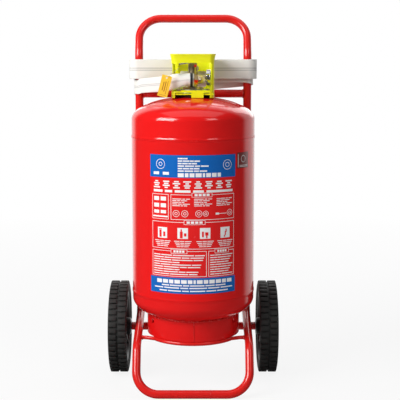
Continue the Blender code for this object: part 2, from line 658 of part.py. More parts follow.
def make_guard():
    bottom = dome_z(GUARD_HALF) + 0.0008
    top = bottom + GUARD_HEIGHT
    levels = [(bottom, 0), (bottom + 0.020, 0), (top - 0.020, 0), (top - 0.008, 0.3), (top, 1)]
    bm = bmesh.new()
    loops = []
    for height, flare in levels:
        half = GUARD_HALF + GUARD_FLARE * flare
        loops.append([bm.verts.new((x, y, height)) for x, y in rounded_square(half, GUARD_CORNER)])
    for one, two in zip(loops, loops[1:]):
        for j in range(len(one)):
            k = (j + 1) % len(one)
            bm.faces.new((one[j], one[k], two[k], two[j]))
    mesh = bpy.data.meshes.new("valve_guard")
    bm.to_mesh(mesh)
    bm.free()
    guard = place(mesh, "valve_guard", GUARD_PLASTIC, (0, AXIS_Y, 0))
    wall = guard.modifiers.new("wall", "SOLIDIFY")
    wall.thickness = GUARD_T
    wall.offset = -1
    inner = GUARD_HALF - GUARD_T / 2
    floor = block("guard_floor", (-inner, AXIS_Y - inner, GUARD_FLOOR),
                  (inner, AXIS_Y + inner, GUARD_FLOOR + GUARD_T), None, cutters)
    edge = floor.modifiers.new("corners", "BEVEL")
    edge.width = GUARD_CORNER - GUARD_T / 2
    edge.segments = 4
    edge.limit_method = "ANGLE"
    edge.affect = "EDGES"
    combine(guard, floor, "UNION")
    cuts = [disc("neck_cut", NECK_BORE_R + 0.002, GUARD_FLOOR - 0.01, GUARD_FLOOR + 0.01, None,
                 (0, AXIS_Y, 0), (0, 0, 1), 32, cutters)]
    front = AXIS_Y - GUARD_HALF
    window_low, window_high = OUTLET_Z - 0.0265, OUTLET_Z + 0.0430
    cuts.append(block("front_window", (-0.0370, front - 0.02, window_low),
                      (0.0480, front + 0.02, window_high), None, cutters))
    cuts.append(block("side_notch", (-0.09, front - 0.02, OUTLET_Z - 0.0295),
                      (-0.0445, AXIS_Y + 0.030, OUTLET_Z + 0.0410), None, cutters))
    cuts.append(block("hose_notch", (-0.05, front - 0.02, OUTLET_Z - 0.0290),
                      (-0.03, AXIS_Y - 0.01, OUTLET_Z + 0.0165), None, cutters))
    cuts.append(block("gauge_window", (GUARD_HALF - 0.02, AXIS_Y - 0.026, window_low + 0.004),
                      (GUARD_HALF + 0.02, AXIS_Y + 0.034, window_high - 0.004), None, cutters))
    cuts.append(block("back_window", (-0.034, AXIS_Y + GUARD_HALF - 0.02, window_low + 0.006),
                      (0.034, AXIS_Y + GUARD_HALF + 0.02, window_high - 0.022), None, cutters))
    for low, high in ((-0.046, -0.004), (0.027, 0.043)):
        cuts.append(block("base_slot", (low, front - 0.02, bottom - 0.01),
                          (high, front + GUARD_T + 0.004, GUARD_FLOOR - 0.0005), None, cutters))
        cuts.append(block("band_slot", (low, front - 0.02, bottom - 0.01),
                          (high, front + GUARD_T + 0.0005, GUARD_FLOOR + 0.0060), None, cutters))
    for cut in cuts:
        combine(guard, cut, "DIFFERENCE")


def make_tag():
    """Inspection tag on a wire loop round the guard's front left post."""
    post = Vector((-0.0408, AXIS_Y - GUARD_HALF + GUARD_T / 2, OUTLET_Z + 0.0255))
    slope = math.radians(38.5)
    down = Vector((-math.cos(slope), 0, -math.sin(slope)))
    hole_at = 0.0322
    loop = [(-0.0060, 0.0024), (-0.0060, -0.0032), (-0.0044, -0.0044), (0.008, -0.0068)]
    loop += [(0.020, -0.0094), (0.0303, -0.0098), (0.0335, -0.0078), (0.0315, -0.0058)]
    loop += [(0.022, -0.0034), (0.012, 0.0006), (0.006, 0.0040), (-0.0042, 0.0036)]
    points = [post + down * along + Vector((0, out, 0)) for along, out in loop]
    wire = bent_tube("tag_wire", points, 0.0005, STEEL, 1)
    wire.data.splines[0].use_cyclic_u = True
    wire.data.use_fill_caps = False
    hole = post + down * hole_at + Vector((0, -0.0077, 0))
    tilt = math.radians(14.5)
    long_way = Vector((-math.sin(tilt), 0, -math.cos(tilt)))
    middle = hole + long_way * (TAG_LENGTH / 2 - 0.006)
    size = Vector((TAG_WIDTH, TAG_T, TAG_LENGTH)) / 2
    tag = block("hang_tag", -size, size, TAG_PLASTIC)
    tag.location = middle
    tag.rotation_euler = (0, tilt, 0)
    combine(tag, rod("tag_hole", hole - Vector((0, 0.01, 0)), hole + Vector((0, 0.01, 0)), 0.0022,
                     None, 12, cutters), "DIFFERENCE")


# Hose: round at its couplings, flat where it is wound round both uprights.


def hose_stations():
    """Centre points of the hose with its half width and half thickness at each."""
    start = Vector((OUTLET_X - SPIGOT_LENGTH - 0.007, AXIS_Y - OUTLET_Y, OUTLET_Z))
    lower = HOSE_Z - HOSE_WIDTH / 2 - 0.0205
    first_angle = -146
    r0 = FRAME_R + GAP + HOSE_T / 2
    layer = HOSE_T + GAP
    contact = Vector((-FRAME_HALF + r0 * math.cos(math.radians(first_angle)),
                      UPRIGHT_Y + r0 * math.sin(math.radians(first_angle)), lower))
    heading = Vector((math.sin(math.radians(first_angle)), -math.cos(math.radians(first_angle)), 0))
    lead = [start, start + Vector((-0.013, 0, 0)), start + Vector((-0.026, -0.0006, -0.0012))]
    lead.append(start + Vector((-0.050, 0.0010, -0.0050)))
    lead += [start + Vector((-0.078, 0.020, -0.0110)), contact - heading * 0.040 + Vector((0, 0, 0.004))]
    lead += [contact - heading * 0.016, contact]
    points = smooth_route(lead, 0.011)
    wide, thick = HOSE_WIDTH / 2, HOSE_T / 2
    length = sum((b - a).length for a, b in zip(points, points[1:]))
    widths = [(0, HOSE_END_R), (0.02, HOSE_END_R + 0.0005), (0.05, 0.0205), (length, 0.0195)]
    depths = [(0, HOSE_END_R), (0.02, HOSE_END_R - 0.001), (0.05, 0.0095), (0.09, 0.0045)]
    depths += [(length - 0.04, thick), (length, thick)]
    stations, along = [], 0.0
    for i, point in enumerate(points):
        along += (point - points[i - 1]).length if i else 0.0
        stations.append((point, at_key(widths, along), at_key(depths, along)))
    for turn in range(HOSE_TURNS + 1):
        radius = r0 + layer * turn
        z_left = HOSE_Z if turn else lower
        z_back = HOSE_Z if turn else HOSE_Z - 0.020
        z_right = HOSE_Z if turn else HOSE_Z - 0.010
        w_front = wide if turn else 0.0195
        begin = -90 if turn else first_angle
        steps = 8 if turn else 6
        for i in range(0 if turn else 1, steps + 1):
            share = i / steps
            angle = math.radians(begin + (-270 - begin) * share)
            stations.append((Vector((-FRAME_HALF + radius * math.cos(angle),
                                     UPRIGHT_Y + radius * math.sin(angle),
                                     z_left)),
                             w_front + (wide - w_front) * share, thick))
        if turn == HOSE_TURNS:
            break
        radius += layer / 2
        for i in range(9):
            angle = math.radians(90 - 180 * i / 8)
            stations.append((Vector((FRAME_HALF + radius * math.cos(angle),
                                     UPRIGHT_Y + radius * math.sin(angle),
                                     z_back + (z_right - z_back) * i / 8)), wide, thick))
    last_y = UPRIGHT_Y + r0 + layer * HOSE_TURNS
    tail = [Vector((-FRAME_HALF, last_y, HOSE_Z)), Vector((-0.100, last_y + 0.001, HOSE_Z - 0.001)),
            Vector((-0.058, last_y + 0.007, HOSE_Z - 0.012)),
            Vector((-0.020, last_y + 0.018, HOSE_Z - 0.036)),
            Vector((0.004, last_y + 0.033, HOSE_Z - 0.070)),
            Vector((0.014, nozzle_y() - 0.003, HOSE_Z - 0.100)),
            Vector((0.016, nozzle_y(), hose_end_z() + 0.014)), Vector((0.016, nozzle_y(), hose_end_z()))]
    points = resampled(smooth_route(tail, 0.010), HOSE_TAIL_POINTS + 1)[1:]
    length = sum((b - a).length for a, b in zip(points, points[1:]))
    widths = [(0, wide), (length * 0.35, 0.025), (length * 0.7, HOSE_END_R + 0.001), (length, HOSE_END_R)]
    depths = [(0, thick), (length * 0.2, 0.003), (length * 0.6, 0.011), (length * 0.85, HOSE_END_R)]
    along = 0.0
    for i, point in enumerate(points):
        along += (point - points[i - 1]).length if i else 0.0
        stations.append((point, at_key(widths, along), at_key(depths, along)))
    return stations


def nozzle_y():
    return AXIS_Y + TANK_R + NOZZLE_R + 0.0055


def hose_end_z():
    return HOSE_Z - 0.132


def make_hose():
    stations = hose_stations()
    points = [s[0] for s in stations]
    bm = bmesh.new()
    loops = []
    for i, (point, wide, thick) in enumerate(stations):
        before = (point - points[i - 1]).normalized() if i else Vector((0, 0, 0))
        after = (points[i + 1] - point).normalized() if i + 1 < len(points) else Vector((0, 0, 0))
        ahead = (before + after).normalized()
        if i == 0:
            ahead = Vector((-1, 0, 0))
        if i + 1 == len(points):
            ahead = Vector((0, 0, -1))
        inward = ahead.cross((0, 0, 1)) if i < len(points) - HOSE_TAIL_POINTS else Vector((0, -1, 0))
        normal = (inward - ahead * inward.dot(ahead)).normalized()
        up = normal.cross(ahead)
        flat = min(1.0, thick / wide)
        power = 0.45 + 0.55 * flat
        loop = []
        for j in range(8):
            angle = 2 * math.pi * (j + 0.5) / 8
            c, s = math.cos(angle), math.sin(angle)
            across = math.copysign(abs(c) ** power, c) * wide
            through = math.copysign(abs(s) ** power, s) * thick
            loop.append(bm.verts.new(point + up * across + normal * through))
        loops.append(loop)
    for one, two in zip(loops, loops[1:]):
        for j in range(8):
            bm.faces.new((one[j], one[(j + 1) % 8], two[(j + 1) % 8], two[j]))
    bm.faces.new(loops[0])
    bm.faces.new(loops[-1])
    bmesh.ops.recalc_face_normals(bm, faces=bm.faces)
    mesh = bpy.data.meshes.new("hose")
    bm.to_mesh(mesh)
    bm.free()
    hose = place(mesh, "hose", HOSE_CLOTH)
    start, end = points[0], points[-1]
    tail_r = HOSE_END_R - 0.003
    combine(hose, rod("inlet_bore", start + Vector((0.01, 0, 0)), start - Vector((0.016, 0, 0)),
                      tail_r + GAP, None, 16, cutters), "DIFFERENCE")
    combine(hose, rod("outlet_bore", end - Vector((0, 0, 0.01)), end + Vector((0, 0, 0.014)),
                      tail_r + GAP, None, 16, cutters), "DIFFERENCE")

    flow = (-1, 0, 0)
    face = OUTLET_X - SPIGOT_LENGTH - GAP
    flange = face - start.x - 0.0012
    outlet = (face, AXIS_Y - OUTLET_Y, OUTLET_Z)
    nut = disc("coupling_nut", NUT_R, -flange, 0.0035, BRASS, outlet, (1, 0, 0), 6)
    combine(nut, rod("nut_bore", (start.x, outlet[1], OUTLET_Z), (OUTLET_X, outlet[1], OUTLET_Z),
                     OUTLET_R + GAP, None, 24, cutters), "DIFFERENCE")
    barb = flange + 0.016
    profile = [(0, 0), (OUTLET_R, 0), (OUTLET_R, -flange), (tail_r, -flange), (tail_r, -barb), (0, -barb)]
    turned("hose_tail", profile, BRASS, outlet, (1, 0, 0), 16)
    ring("hose_clamp", HOSE_END_R + 0.0024, HOSE_END_R + 0.0007, 0.001, 0.011, BLACK, points[0], flow, 24)

    nozzle = (end.x, end.y, end.z)
    down = (0, 0, -1)
    insert = [(0, 0.020), (NOZZLE_R + 0.002, 0.020), (NOZZLE_R + 0.002, 0.0008), (tail_r, 0.0008)]
    insert += [(tail_r, -0.013), (0, -0.013)]
    turned("nozzle_coupling", insert, BRASS, nozzle, down, 20)
    start = 0.020 + GAP
    mouth = start + NOZZLE_LENGTH
    profile = [(0, mouth - 0.022), (0.0070, mouth - 0.020), (0.0095, mouth), (0.0125, mouth)]
    profile += [(0.0095, mouth - 0.02), (0.0095, start + 0.068), (NOZZLE_R, start + 0.055)]
    profile += [(NOZZLE_R, start), (0, start)]
    turned("nozzle_body", profile, BLACK, nozzle, down, 20)
    ring("hose_end_clamp", HOSE_END_R + 0.0024, HOSE_END_R + 0.0007, 0.001, 0.011, BLACK, end,
         (0, 0, 1), 24)
    knob_z = end.z - start - 0.022
    stub = NOZZLE_R + GAP
    handle = rod("nozzle_valve_handle", (end.x + stub, end.y, knob_z), (end.x + stub + 0.007, end.y, knob_z),
                 0.006, RED, 16)
    grip = block("handle_grip", (end.x + stub + 0.003, end.y - 0.005, knob_z - 0.046),
                 (end.x + stub + 0.0068, end.y + 0.005, knob_z), None, cutters, 0.001)
    combine(handle, grip, "UNION")

    clip_z = end.z - start - NOZZLE_LENGTH + 0.045
    clip_in = 0.0095 + GAP
    clip = ring("nozzle_clip", clip_in + 0.0025, clip_in, clip_z - 0.009, clip_z + 0.009, STEEL,
                (end.x, end.y, 0), steps=24)
    pad = block("clip_pad", (end.x - 0.008, AXIS_Y + TANK_R - 0.01, clip_z - 0.009),
                (end.x + 0.008, end.y - clip_in - 0.0005, clip_z + 0.009), None, cutters)
    combine(clip, pad, "UNION")
    combine(clip, disc("tank_room", TANK_R + GAP, clip_z - 0.1, clip_z + 0.1, None, (0, AXIS_Y, 0),
                       (0, 0, 1), 96, cutters), "DIFFERENCE")
    mouth = block("clip_mouth", (end.x - 0.006, end.y + 0.004, clip_z - 0.02),
                  (end.x + 0.006, end.y + 0.03, clip_z + 0.02), None, cutters)
    combine(clip, mouth, "DIFFERENCE")


make_frame()
make_cradle()
make_axle()
make_wheel("left", -1)
make_wheel("right", 1)
make_tank()
make_valve()
make_gauge()
make_guard()
make_tag()
make_hose()
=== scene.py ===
import math

import bmesh
import bpy
from mathutils import Euler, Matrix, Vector


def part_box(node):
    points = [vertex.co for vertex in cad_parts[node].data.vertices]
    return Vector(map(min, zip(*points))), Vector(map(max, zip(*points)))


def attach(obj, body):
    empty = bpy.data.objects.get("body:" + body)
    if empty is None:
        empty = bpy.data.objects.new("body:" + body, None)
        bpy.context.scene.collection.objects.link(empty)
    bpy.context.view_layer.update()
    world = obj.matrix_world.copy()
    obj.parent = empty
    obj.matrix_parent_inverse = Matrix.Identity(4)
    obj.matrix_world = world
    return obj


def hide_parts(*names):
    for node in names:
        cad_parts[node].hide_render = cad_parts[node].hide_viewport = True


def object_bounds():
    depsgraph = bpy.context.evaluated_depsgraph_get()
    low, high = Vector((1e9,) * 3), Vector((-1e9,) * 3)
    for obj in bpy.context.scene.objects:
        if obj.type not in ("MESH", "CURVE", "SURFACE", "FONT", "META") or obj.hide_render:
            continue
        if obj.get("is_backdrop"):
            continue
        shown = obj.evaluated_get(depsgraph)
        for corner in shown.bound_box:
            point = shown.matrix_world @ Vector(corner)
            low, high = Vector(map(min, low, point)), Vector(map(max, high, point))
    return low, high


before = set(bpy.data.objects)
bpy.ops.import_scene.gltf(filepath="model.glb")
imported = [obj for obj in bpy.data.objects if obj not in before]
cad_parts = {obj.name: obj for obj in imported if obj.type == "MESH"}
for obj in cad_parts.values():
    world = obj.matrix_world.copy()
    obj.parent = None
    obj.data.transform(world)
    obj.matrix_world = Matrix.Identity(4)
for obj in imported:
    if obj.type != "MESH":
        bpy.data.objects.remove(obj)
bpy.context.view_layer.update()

# Studio: a white floor and surround, a big soft key lamp at the front left, a weak fill at the
# front right, a top lamp and one behind. The camera stands back at chest height and looks
# slightly down.
scene = bpy.context.scene
scene.view_settings.view_transform = "Standard"
bpy.ops.object.select_all(action="DESELECT")
bpy.ops.object.camera_add(location=(0.018, -2.685, 0.855), rotation=(math.radians(82.15), 0, 0))
scene.camera = bpy.context.object
scene.camera.data.lens = 92
scene.camera.data.sensor_width = 36


def soft_lamp(name, place, aim, size, height, power):
    """Rectangular area lamp turned to shine at a point."""
    bpy.ops.object.light_add(type="AREA", location=place)
    lamp = bpy.context.object
    lamp.name = name
    lamp.data.shape = "RECTANGLE"
    lamp.data.size = size
    lamp.data.size_y = height
    lamp.data.energy = power
    lamp.rotation_euler = (Vector(place) - Vector(aim)).to_track_quat("Z", "Y").to_euler()


soft_lamp("key_lamp", (-2.2, -1.7, 2.1), (0, 0, 0.45), 1.9, 1.4, 108)
soft_lamp("fill_lamp", (1.5, -2.0, 2.2), (0, 0, 0.5), 0.9, 0.9, 10)
soft_lamp("top_lamp", (0.0, -0.2, 2.6), (0, 0, 0.7), 2.4, 1.6, 10)
soft_lamp("back_lamp", (0.4, 2.2, 1.8), (0, 0, 0.5), 2.6, 2.0, 27)


def shader_node(nodes, kind, operation=None, **values):
    """New shader node with some of its inputs set."""
    made = nodes.new("ShaderNode" + kind)
    if operation:
        made.operation = operation
    for name, value in values.items():
        made.inputs[name.replace("_", " ")].default_value = value
    return made


def mixed(nodes, links, share, first, second):
    """Shader between two others, by a share of the second."""
    mix = nodes.new("ShaderNodeMixShader")
    for socket, source in zip(mix.inputs, (share, first, second)):
        links.new(source, socket)
    return mix.outputs["Shader"]


def far_wall(nodes, links, direction):
    """Strength of what gloss shows of the studio: a pale far wall, and dark towards the camera."""
    turned_to = shader_node(nodes, "VectorMath", "DOT_PRODUCT")
    turned_to.inputs[1].default_value = (0.23, 1, 0)
    links.new(direction, turned_to.inputs[0])
    strength = shader_node(nodes, "MapRange", From_Min=0.48, From_Max=0.66, To_Min=0.07,
                           To_Max=1.0)
    links.new(turned_to.outputs["Value"], strength.inputs["Value"])
    return strength.outputs["Result"]


pure_white = (1, 1, 1, 1)
world = bpy.data.worlds.new("white_surround")
scene.world = world
world.use_nodes = True
nodes, links = world.node_tree.nodes, world.node_tree.links
ray = shader_node(nodes, "LightPath")
seen = shader_node(nodes, "Math", "MAXIMUM")
links.new(ray.outputs["Is Camera Ray"], seen.inputs[0])
links.new(ray.outputs["Is Transmission Ray"], seen.inputs[1])
facing = shader_node(nodes, "TexCoord")
mirror = shader_node(nodes, "Background", Color=pure_white)
links.new(far_wall(nodes, links, facing.outputs["Generated"]), mirror.inputs["Strength"])
glow = shader_node(nodes, "Background", Color=pure_white, Strength=0.20)
white = shader_node(nodes, "Background", Color=pure_white, Strength=1.0)
surround = mixed(nodes, links, ray.outputs["Is Glossy Ray"], glow.outputs[0], mirror.outputs[0])
surround = mixed(nodes, links, seen.outputs[0], surround, white.outputs[0])
links.new(surround, nodes["World Output"].inputs["Surface"])

bpy.ops.mesh.primitive_plane_add(size=200, location=(0, 0, -0.0006))
floor = bpy.context.object
floor.name = "studio_floor"
paper = bpy.data.materials.new("white_paper")
paper.use_nodes = True
nodes, links = paper.node_tree.nodes, paper.node_tree.links
nodes.remove(nodes["Principled BSDF"])
matt = shader_node(nodes, "BsdfDiffuse", Color=(0.62, 0.62, 0.62, 1))
lit = shader_node(nodes, "Emission", Color=pure_white)
mirrored = shader_node(nodes, "Emission", Color=pure_white)
ray = shader_node(nodes, "LightPath")
where = shader_node(nodes, "TexCoord")
away = shader_node(nodes, "VectorMath", "LENGTH")
links.new(where.outputs["Object"], away.inputs[0])
fade = shader_node(nodes, "MapRange", From_Min=0.8, From_Max=3.0, To_Min=0.88, To_Max=1.0)
links.new(away.outputs["Value"], fade.inputs["Value"])
share = shader_node(nodes, "Math", "MULTIPLY")
links.new(ray.outputs["Is Camera Ray"], share.inputs[0])
links.new(fade.outputs["Result"], share.inputs[1])
bearing = shader_node(nodes, "VectorMath", "NORMALIZE")
links.new(where.outputs["Object"], bearing.inputs[0])
links.new(far_wall(nodes, links, bearing.outputs["Vector"]), mirrored.inputs["Strength"])
paper_look = mixed(nodes, links, share.outputs[0], matt.outputs[0], lit.outputs[0])
paper_look = mixed(nodes, links, ray.outputs["Is Glossy Ray"], paper_look, mirrored.outputs[0])
links.new(paper_look, nodes["Material Output"].inputs["Surface"])
floor.data.materials.append(paper)
floor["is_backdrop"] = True

# Tank: a rolled steel barrel with two pressed heads butt-welded to it, powder coated red
# all over. Each seam is a low bead; the coat is glossy with a faint orange peel.


def finish(name, colour, rough, metallic=0.0, blotch=0.05, blotch_size=0.05, grain=0.0012,
           depth=0.00003, coat=0.0):
    """Material whose colour and gloss drift with noise, with a fine bump; sizes in metres."""
    made = bpy.data.materials.new(name)
    made.use_nodes = True
    nodes, links = made.node_tree.nodes, made.node_tree.links
    shader = nodes["Principled BSDF"]
    shader.inputs["Metallic"].default_value = metallic
    shader.inputs["Coat Weight"].default_value = coat
    shader.inputs["Coat Roughness"].default_value = 0.04
    where = shader_node(nodes, "TexCoord")
    drift = shader_node(nodes, "TexNoise", Scale=1 / blotch_size, Detail=4)
    peel = shader_node(nodes, "TexNoise", Scale=1 / grain, Detail=2)
    for noise in (drift, peel):
        links.new(where.outputs["Object"], noise.inputs["Vector"])
    tone = shader_node(nodes, "Mix")
    tone.data_type = "RGBA"
    tone.inputs["A"].default_value = (*(c * (1 - blotch) for c in colour), 1)
    tone.inputs["B"].default_value = (*(min(1, c * (1 + blotch)) for c in colour), 1)
    links.new(drift.outputs["Fac"], tone.inputs["Factor"])
    links.new(tone.outputs["Result"], shader.inputs["Base Color"])
    gloss = shader_node(nodes, "MapRange", To_Min=rough * 0.8, To_Max=rough * 1.25)
    links.new(drift.outputs["Fac"], gloss.inputs["Value"])
    links.new(gloss.outputs["Result"], shader.inputs["Roughness"])
    bump = shader_node(nodes, "Bump", Distance=depth)
    links.new(peel.outputs["Fac"], bump.inputs["Height"])
    links.new(bump.outputs["Normal"], shader.inputs["Normal"])
    return made


def turned(name, outline, steps=96):
    """Closed ring or solid of revolution about Z, raised from a circle through (radius, height)."""
    bpy.ops.object.select_all(action="DESELECT")
    radius, height = max(outline[0][0], 1e-5), outline[0][1]
    bpy.ops.mesh.primitive_circle_add(vertices=steps, radius=radius, location=(0, 0, height))
    piece = bpy.context.object
    piece.name = name
    bpy.ops.object.transform_apply()
    bpy.ops.object.mode_set(mode="EDIT")
    for wide, high in outline[1:]:
        ratio = max(wide, 1e-5) / radius
        bpy.ops.mesh.extrude_edges_move(TRANSFORM_OT_translate={"value": (0, 0, high - height)})
        bpy.ops.transform.resize(value=(ratio, ratio, 1), center_override=(0, 0, high))
        radius, height = max(wide, 1e-5), high
    bpy.ops.mesh.select_all(action="SELECT")
    bpy.ops.mesh.remove_doubles(threshold=4e-5)
    bpy.ops.mesh.normals_make_consistent(inside=False)
    bpy.ops.object.mode_set(mode="OBJECT")
    bpy.ops.object.shade_smooth_by_angle(angle=math.radians(32))
    return piece


def settle(piece, place=(0, 0, 0), turn=(0, 0, 0)):
    """Move and turn a piece, then put both into its mesh."""
    bpy.ops.object.select_all(action="DESELECT")
    piece.select_set(True)
    bpy.context.view_layer.objects.active = piece
    piece.location = place
    piece.rotation_euler = turn
    bpy.ops.object.transform_apply()
    return piece


def hand_over(piece, material, slot, body, *stands_for):
    """Give a finished piece its material and the body that it rides on; its record slot is not
    used.
    """
    piece.data.materials.clear()
    piece.data.materials.append(material)
    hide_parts(*stands_for)
    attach(piece, body)
    return piece


def keep(node, material):
    """A CAD piece whose shape is right stays and gets a better material."""
    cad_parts[node].material_slots[0].material = material


def quarter(radius, rise, start, end, count):
    """Points (radius, height) of a quarter ellipse between two distances from its axis."""
    first, last = math.acos(start / radius), math.acos(end / radius)
    angles = [first + (last - first) * i / (count - 1) for i in range(count)]
    return [(radius * math.cos(a), rise * math.sin(a)) for a in angles]


tank_red = finish("tank_red_coat", (0.72, 0.008, 0.008), 0.14, blotch=0.03, blotch_size=0.12,
                  grain=0.003, depth=0.00003, coat=0.2)
barrel_low, barrel_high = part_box("tank_barrel")
tank_r = barrel_high.x
axis_y = (barrel_low.y + barrel_high.y) / 2
seam_low, seam_high = barrel_low.z, barrel_high.z
wall, seam_gap = 0.003, 0.0003
bead = [(0.0, 0.0060), (0.0003, 0.0045), (0.0009, 0.0030), (0.0012, 0.0014), (0.0013, 0.0)]
barrel = [(tank_r + out, seam_low + up) for out, up in reversed(bead)]
barrel += [(tank_r + out, seam_high - up) for out, up in bead]
barrel += [(tank_r - wall, seam_high), (tank_r - wall, seam_low), barrel[0]]
hand_over(settle(turned("tank_barrel_coated", barrel, 128), (0, axis_y, 0)), tank_red, "red_paint",
          "unit", "tank_barrel")

neck_r, top_flange, bottom_flange, bottom_dome = 0.030, 0.045, 0.020, 0.0615
top_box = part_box("tank_top_head")
dome_base = seam_high + top_flange
top_dome = (top_box[1].z - dome_base) / math.sqrt(1 - (neck_r / tank_r) ** 2)
head = [(tank_r + out, seam_high + seam_gap + up) for out, up in reversed(bead)]
head += [(r, dome_base + z) for r, z in quarter(tank_r, top_dome, tank_r, neck_r, 36)]
head += [(r, dome_base + z) for r, z in
         reversed(quarter(tank_r - wall, top_dome - wall, tank_r - wall, neck_r, 20))]
head += [(tank_r - wall, seam_high + seam_gap), head[0]]
hand_over(settle(turned("tank_top_head_coated", head, 128), (0, axis_y, 0)), tank_red, "red_paint",
          "unit", "tank_top_head")

low_flange = seam_low - bottom_flange
head = [(tank_r + out, seam_low - seam_gap - up) for out, up in reversed(bead)]
head += [(r, low_flange - z) for r, z in quarter(tank_r, bottom_dome, tank_r, 0, 36)]
head += [(r, low_flange - z) for r, z in
         reversed(quarter(tank_r - wall, bottom_dome - wall, tank_r - wall, 0, 20))]
head += [(tank_r - wall, seam_low - seam_gap), head[0]]
hand_over(settle(turned("tank_bottom_head_coated", head, 128), (0, axis_y, 0)), tank_red,
          "red_paint", "unit", "tank_bottom_head")

# Base skirt: a rolled sheet ring welded under the bottom head, with a vent hole near each
# side and one upright weld at the front, coated with the tank.


def carve(piece, cutter, operation="DIFFERENCE"):
    """Cut a closed shape from a piece, or join it on, and remove the shape."""
    bpy.ops.object.select_all(action="DESELECT")
    piece.select_set(True)
    bpy.context.view_layer.objects.active = piece
    step = piece.modifiers.new("shape", "BOOLEAN")
    step.operation = operation
    step.object = cutter
    bpy.ops.object.modifier_apply(modifier=step.name)
    bpy.data.objects.remove(cutter, do_unlink=True)
    bpy.ops.object.shade_smooth_by_angle(angle=math.radians(32))


skirt_low, skirt_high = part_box("base_skirt")
skirt_r, skirt_wall = skirt_high.x, 0.0025
skirt_in = skirt_r - skirt_wall


def under_head(distance):
    return low_flange - bottom_dome * math.sqrt(1 - (distance / tank_r) ** 2) - seam_gap


skirt = [(skirt_r, under_head(skirt_r)), (skirt_r, skirt_low.z + 0.0006)]
skirt += [(skirt_r - 0.0006, skirt_low.z), (skirt_in + 0.0006, skirt_low.z)]
skirt += [(skirt_in, skirt_low.z + 0.0006), (skirt_in, under_head(skirt_in)), skirt[0]]
skirt = settle(turned("base_skirt_coated", skirt, 128), (0, axis_y, 0))
vent_r, vent_z, vent_angle = 0.006, skirt_low.z + 0.041, math.radians(60)
for sign in (-1, 1):
    bpy.ops.mesh.primitive_cylinder_add(
        vertices=32, radius=vent_r, depth=0.03,
        location=(sign * skirt_r * math.sin(vent_angle), axis_y - skirt_r * math.cos(vent_angle),
                  vent_z),
        rotation=(math.pi / 2, 0, sign * vent_angle))
    carve(skirt, bpy.context.object)
hand_over(skirt, tank_red, "red_paint", "unit", "base_skirt")

# Skirt welds: the sheet's ends meet in one upright bead at the front, and a fillet weld runs
# round under the bottom head.


def tube(name, points, radius, sides=6, closed=False):
    """Round bar swept along points, as a mesh with closed ends."""
    bpy.ops.object.select_all(action="DESELECT")
    curve = bpy.data.curves.new(name, "CURVE")
    curve.dimensions = "3D"
    curve.bevel_depth = radius
    curve.bevel_resolution = sides
    curve.use_fill_caps = not closed
    spline = curve.splines.new("POLY")
    spline.points.add(len(points) - 1)
    spline.use_cyclic_u = closed
    for point, where in zip(spline.points, points):
        point.co = (*where, 1)
    piece = bpy.data.objects.new(name, curve)
    scene.collection.objects.link(piece)
    piece.select_set(True)
    bpy.context.view_layer.objects.active = piece
    bpy.ops.object.convert(target="MESH")
    bpy.ops.object.mode_set(mode="EDIT")
    bpy.ops.mesh.select_all(action="SELECT")
    bpy.ops.mesh.remove_doubles(threshold=1e-5)
    bpy.ops.mesh.normals_make_consistent(inside=False)
    bpy.ops.object.mode_set(mode="OBJECT")
    bpy.ops.object.shade_smooth_by_angle(angle=math.radians(40))
    return piece


weld_red = finish("weld_red_coat", (0.66, 0.010, 0.009), 0.26, blotch=0.05, blotch_size=0.01,
                  grain=0.002, depth=0.0005, coat=0.5)
seam_x, seam_y = 0.002, axis_y - skirt_r + 0.0003
bead_line = [(seam_x, seam_y, skirt_low.z + 0.001), (seam_x, seam_y, skirt_high.z - 0.002)]
hand_over(tube("skirt_seam_weld", bead_line, 0.0014), weld_red, "red_paint", "unit")
fillet_r, fillet_z = skirt_r + 0.001, under_head(skirt_r) - 0.0006
turn_points = [2 * math.pi * i / 96 for i in range(96)]
bead_line = [(fillet_r * math.sin(a), axis_y - fillet_r * math.cos(a), fillet_z)
             for a in turn_points]
hand_over(tube("skirt_fillet_weld", bead_line, 0.0022, 4, True), weld_red, "red_paint", "unit")

# Front label: a printed film on the barrel, with a blue band at its head and foot and outlined
# boxes between. Its words and marks are stood for by plain bars, tiles and rings.
label_angle, label_foot, label_head = math.radians(41.5), 0.2715, 0.6205
print_blue = finish("label_blue_ink", (0.003, 0.12, 0.46), 0.24, blotch=0.03, grain=0.002,
                    depth=0.00002, coat=0.1)
print_red = finish("label_red_ink", (0.76, 0.010, 0.010), 0.24, blotch=0.03, grain=0.002,
                   depth=0.00002, coat=0.1)
print_white = finish("label_white_ink", (0.86, 0.86, 0.86), 0.32, blotch=0.02, grain=0.002,
                     depth=0.00002, coat=0.3)
film_level, ink_level, title_level = 0.0005, 0.0008, 0.0010
prints = {"label_film_blue": [], "label_film_red": [], "label_print_white": [],
          "label_print_red": []}


def printed(layer, left, right, foot, top, level=film_level):
    """Patch of print on the barrel; left and right run from -1 to 1 across the label."""
    across = max(1, math.ceil((right - left) * 18))
    bpy.ops.mesh.primitive_grid_add(x_subdivisions=across, y_subdivisions=1, size=1)
    patch = bpy.context.object
    radius = tank_r + level
    for vertex in patch.data.vertices:
        angle = (left + (right - left) * (vertex.co.x + 0.5)) * label_angle
        height = foot + (top - foot) * (vertex.co.y + 0.5)
        vertex.co = (radius * math.sin(angle), axis_y - radius * math.cos(angle), height)
    prints[layer].append(patch)


def outline_box(left, right, foot, top, line=0.0011, level=ink_level):
    """Thin white frame round a part of the label."""
    side = line / (tank_r * label_angle)
    printed("label_print_white", left, right, top - line, top, level)
    printed("label_print_white", left, right, foot, foot + line, level)
    printed("label_print_white", left, left + side, foot + line, top - line, level)
    printed("label_print_white", right - side, right, foot + line, top - line, level)


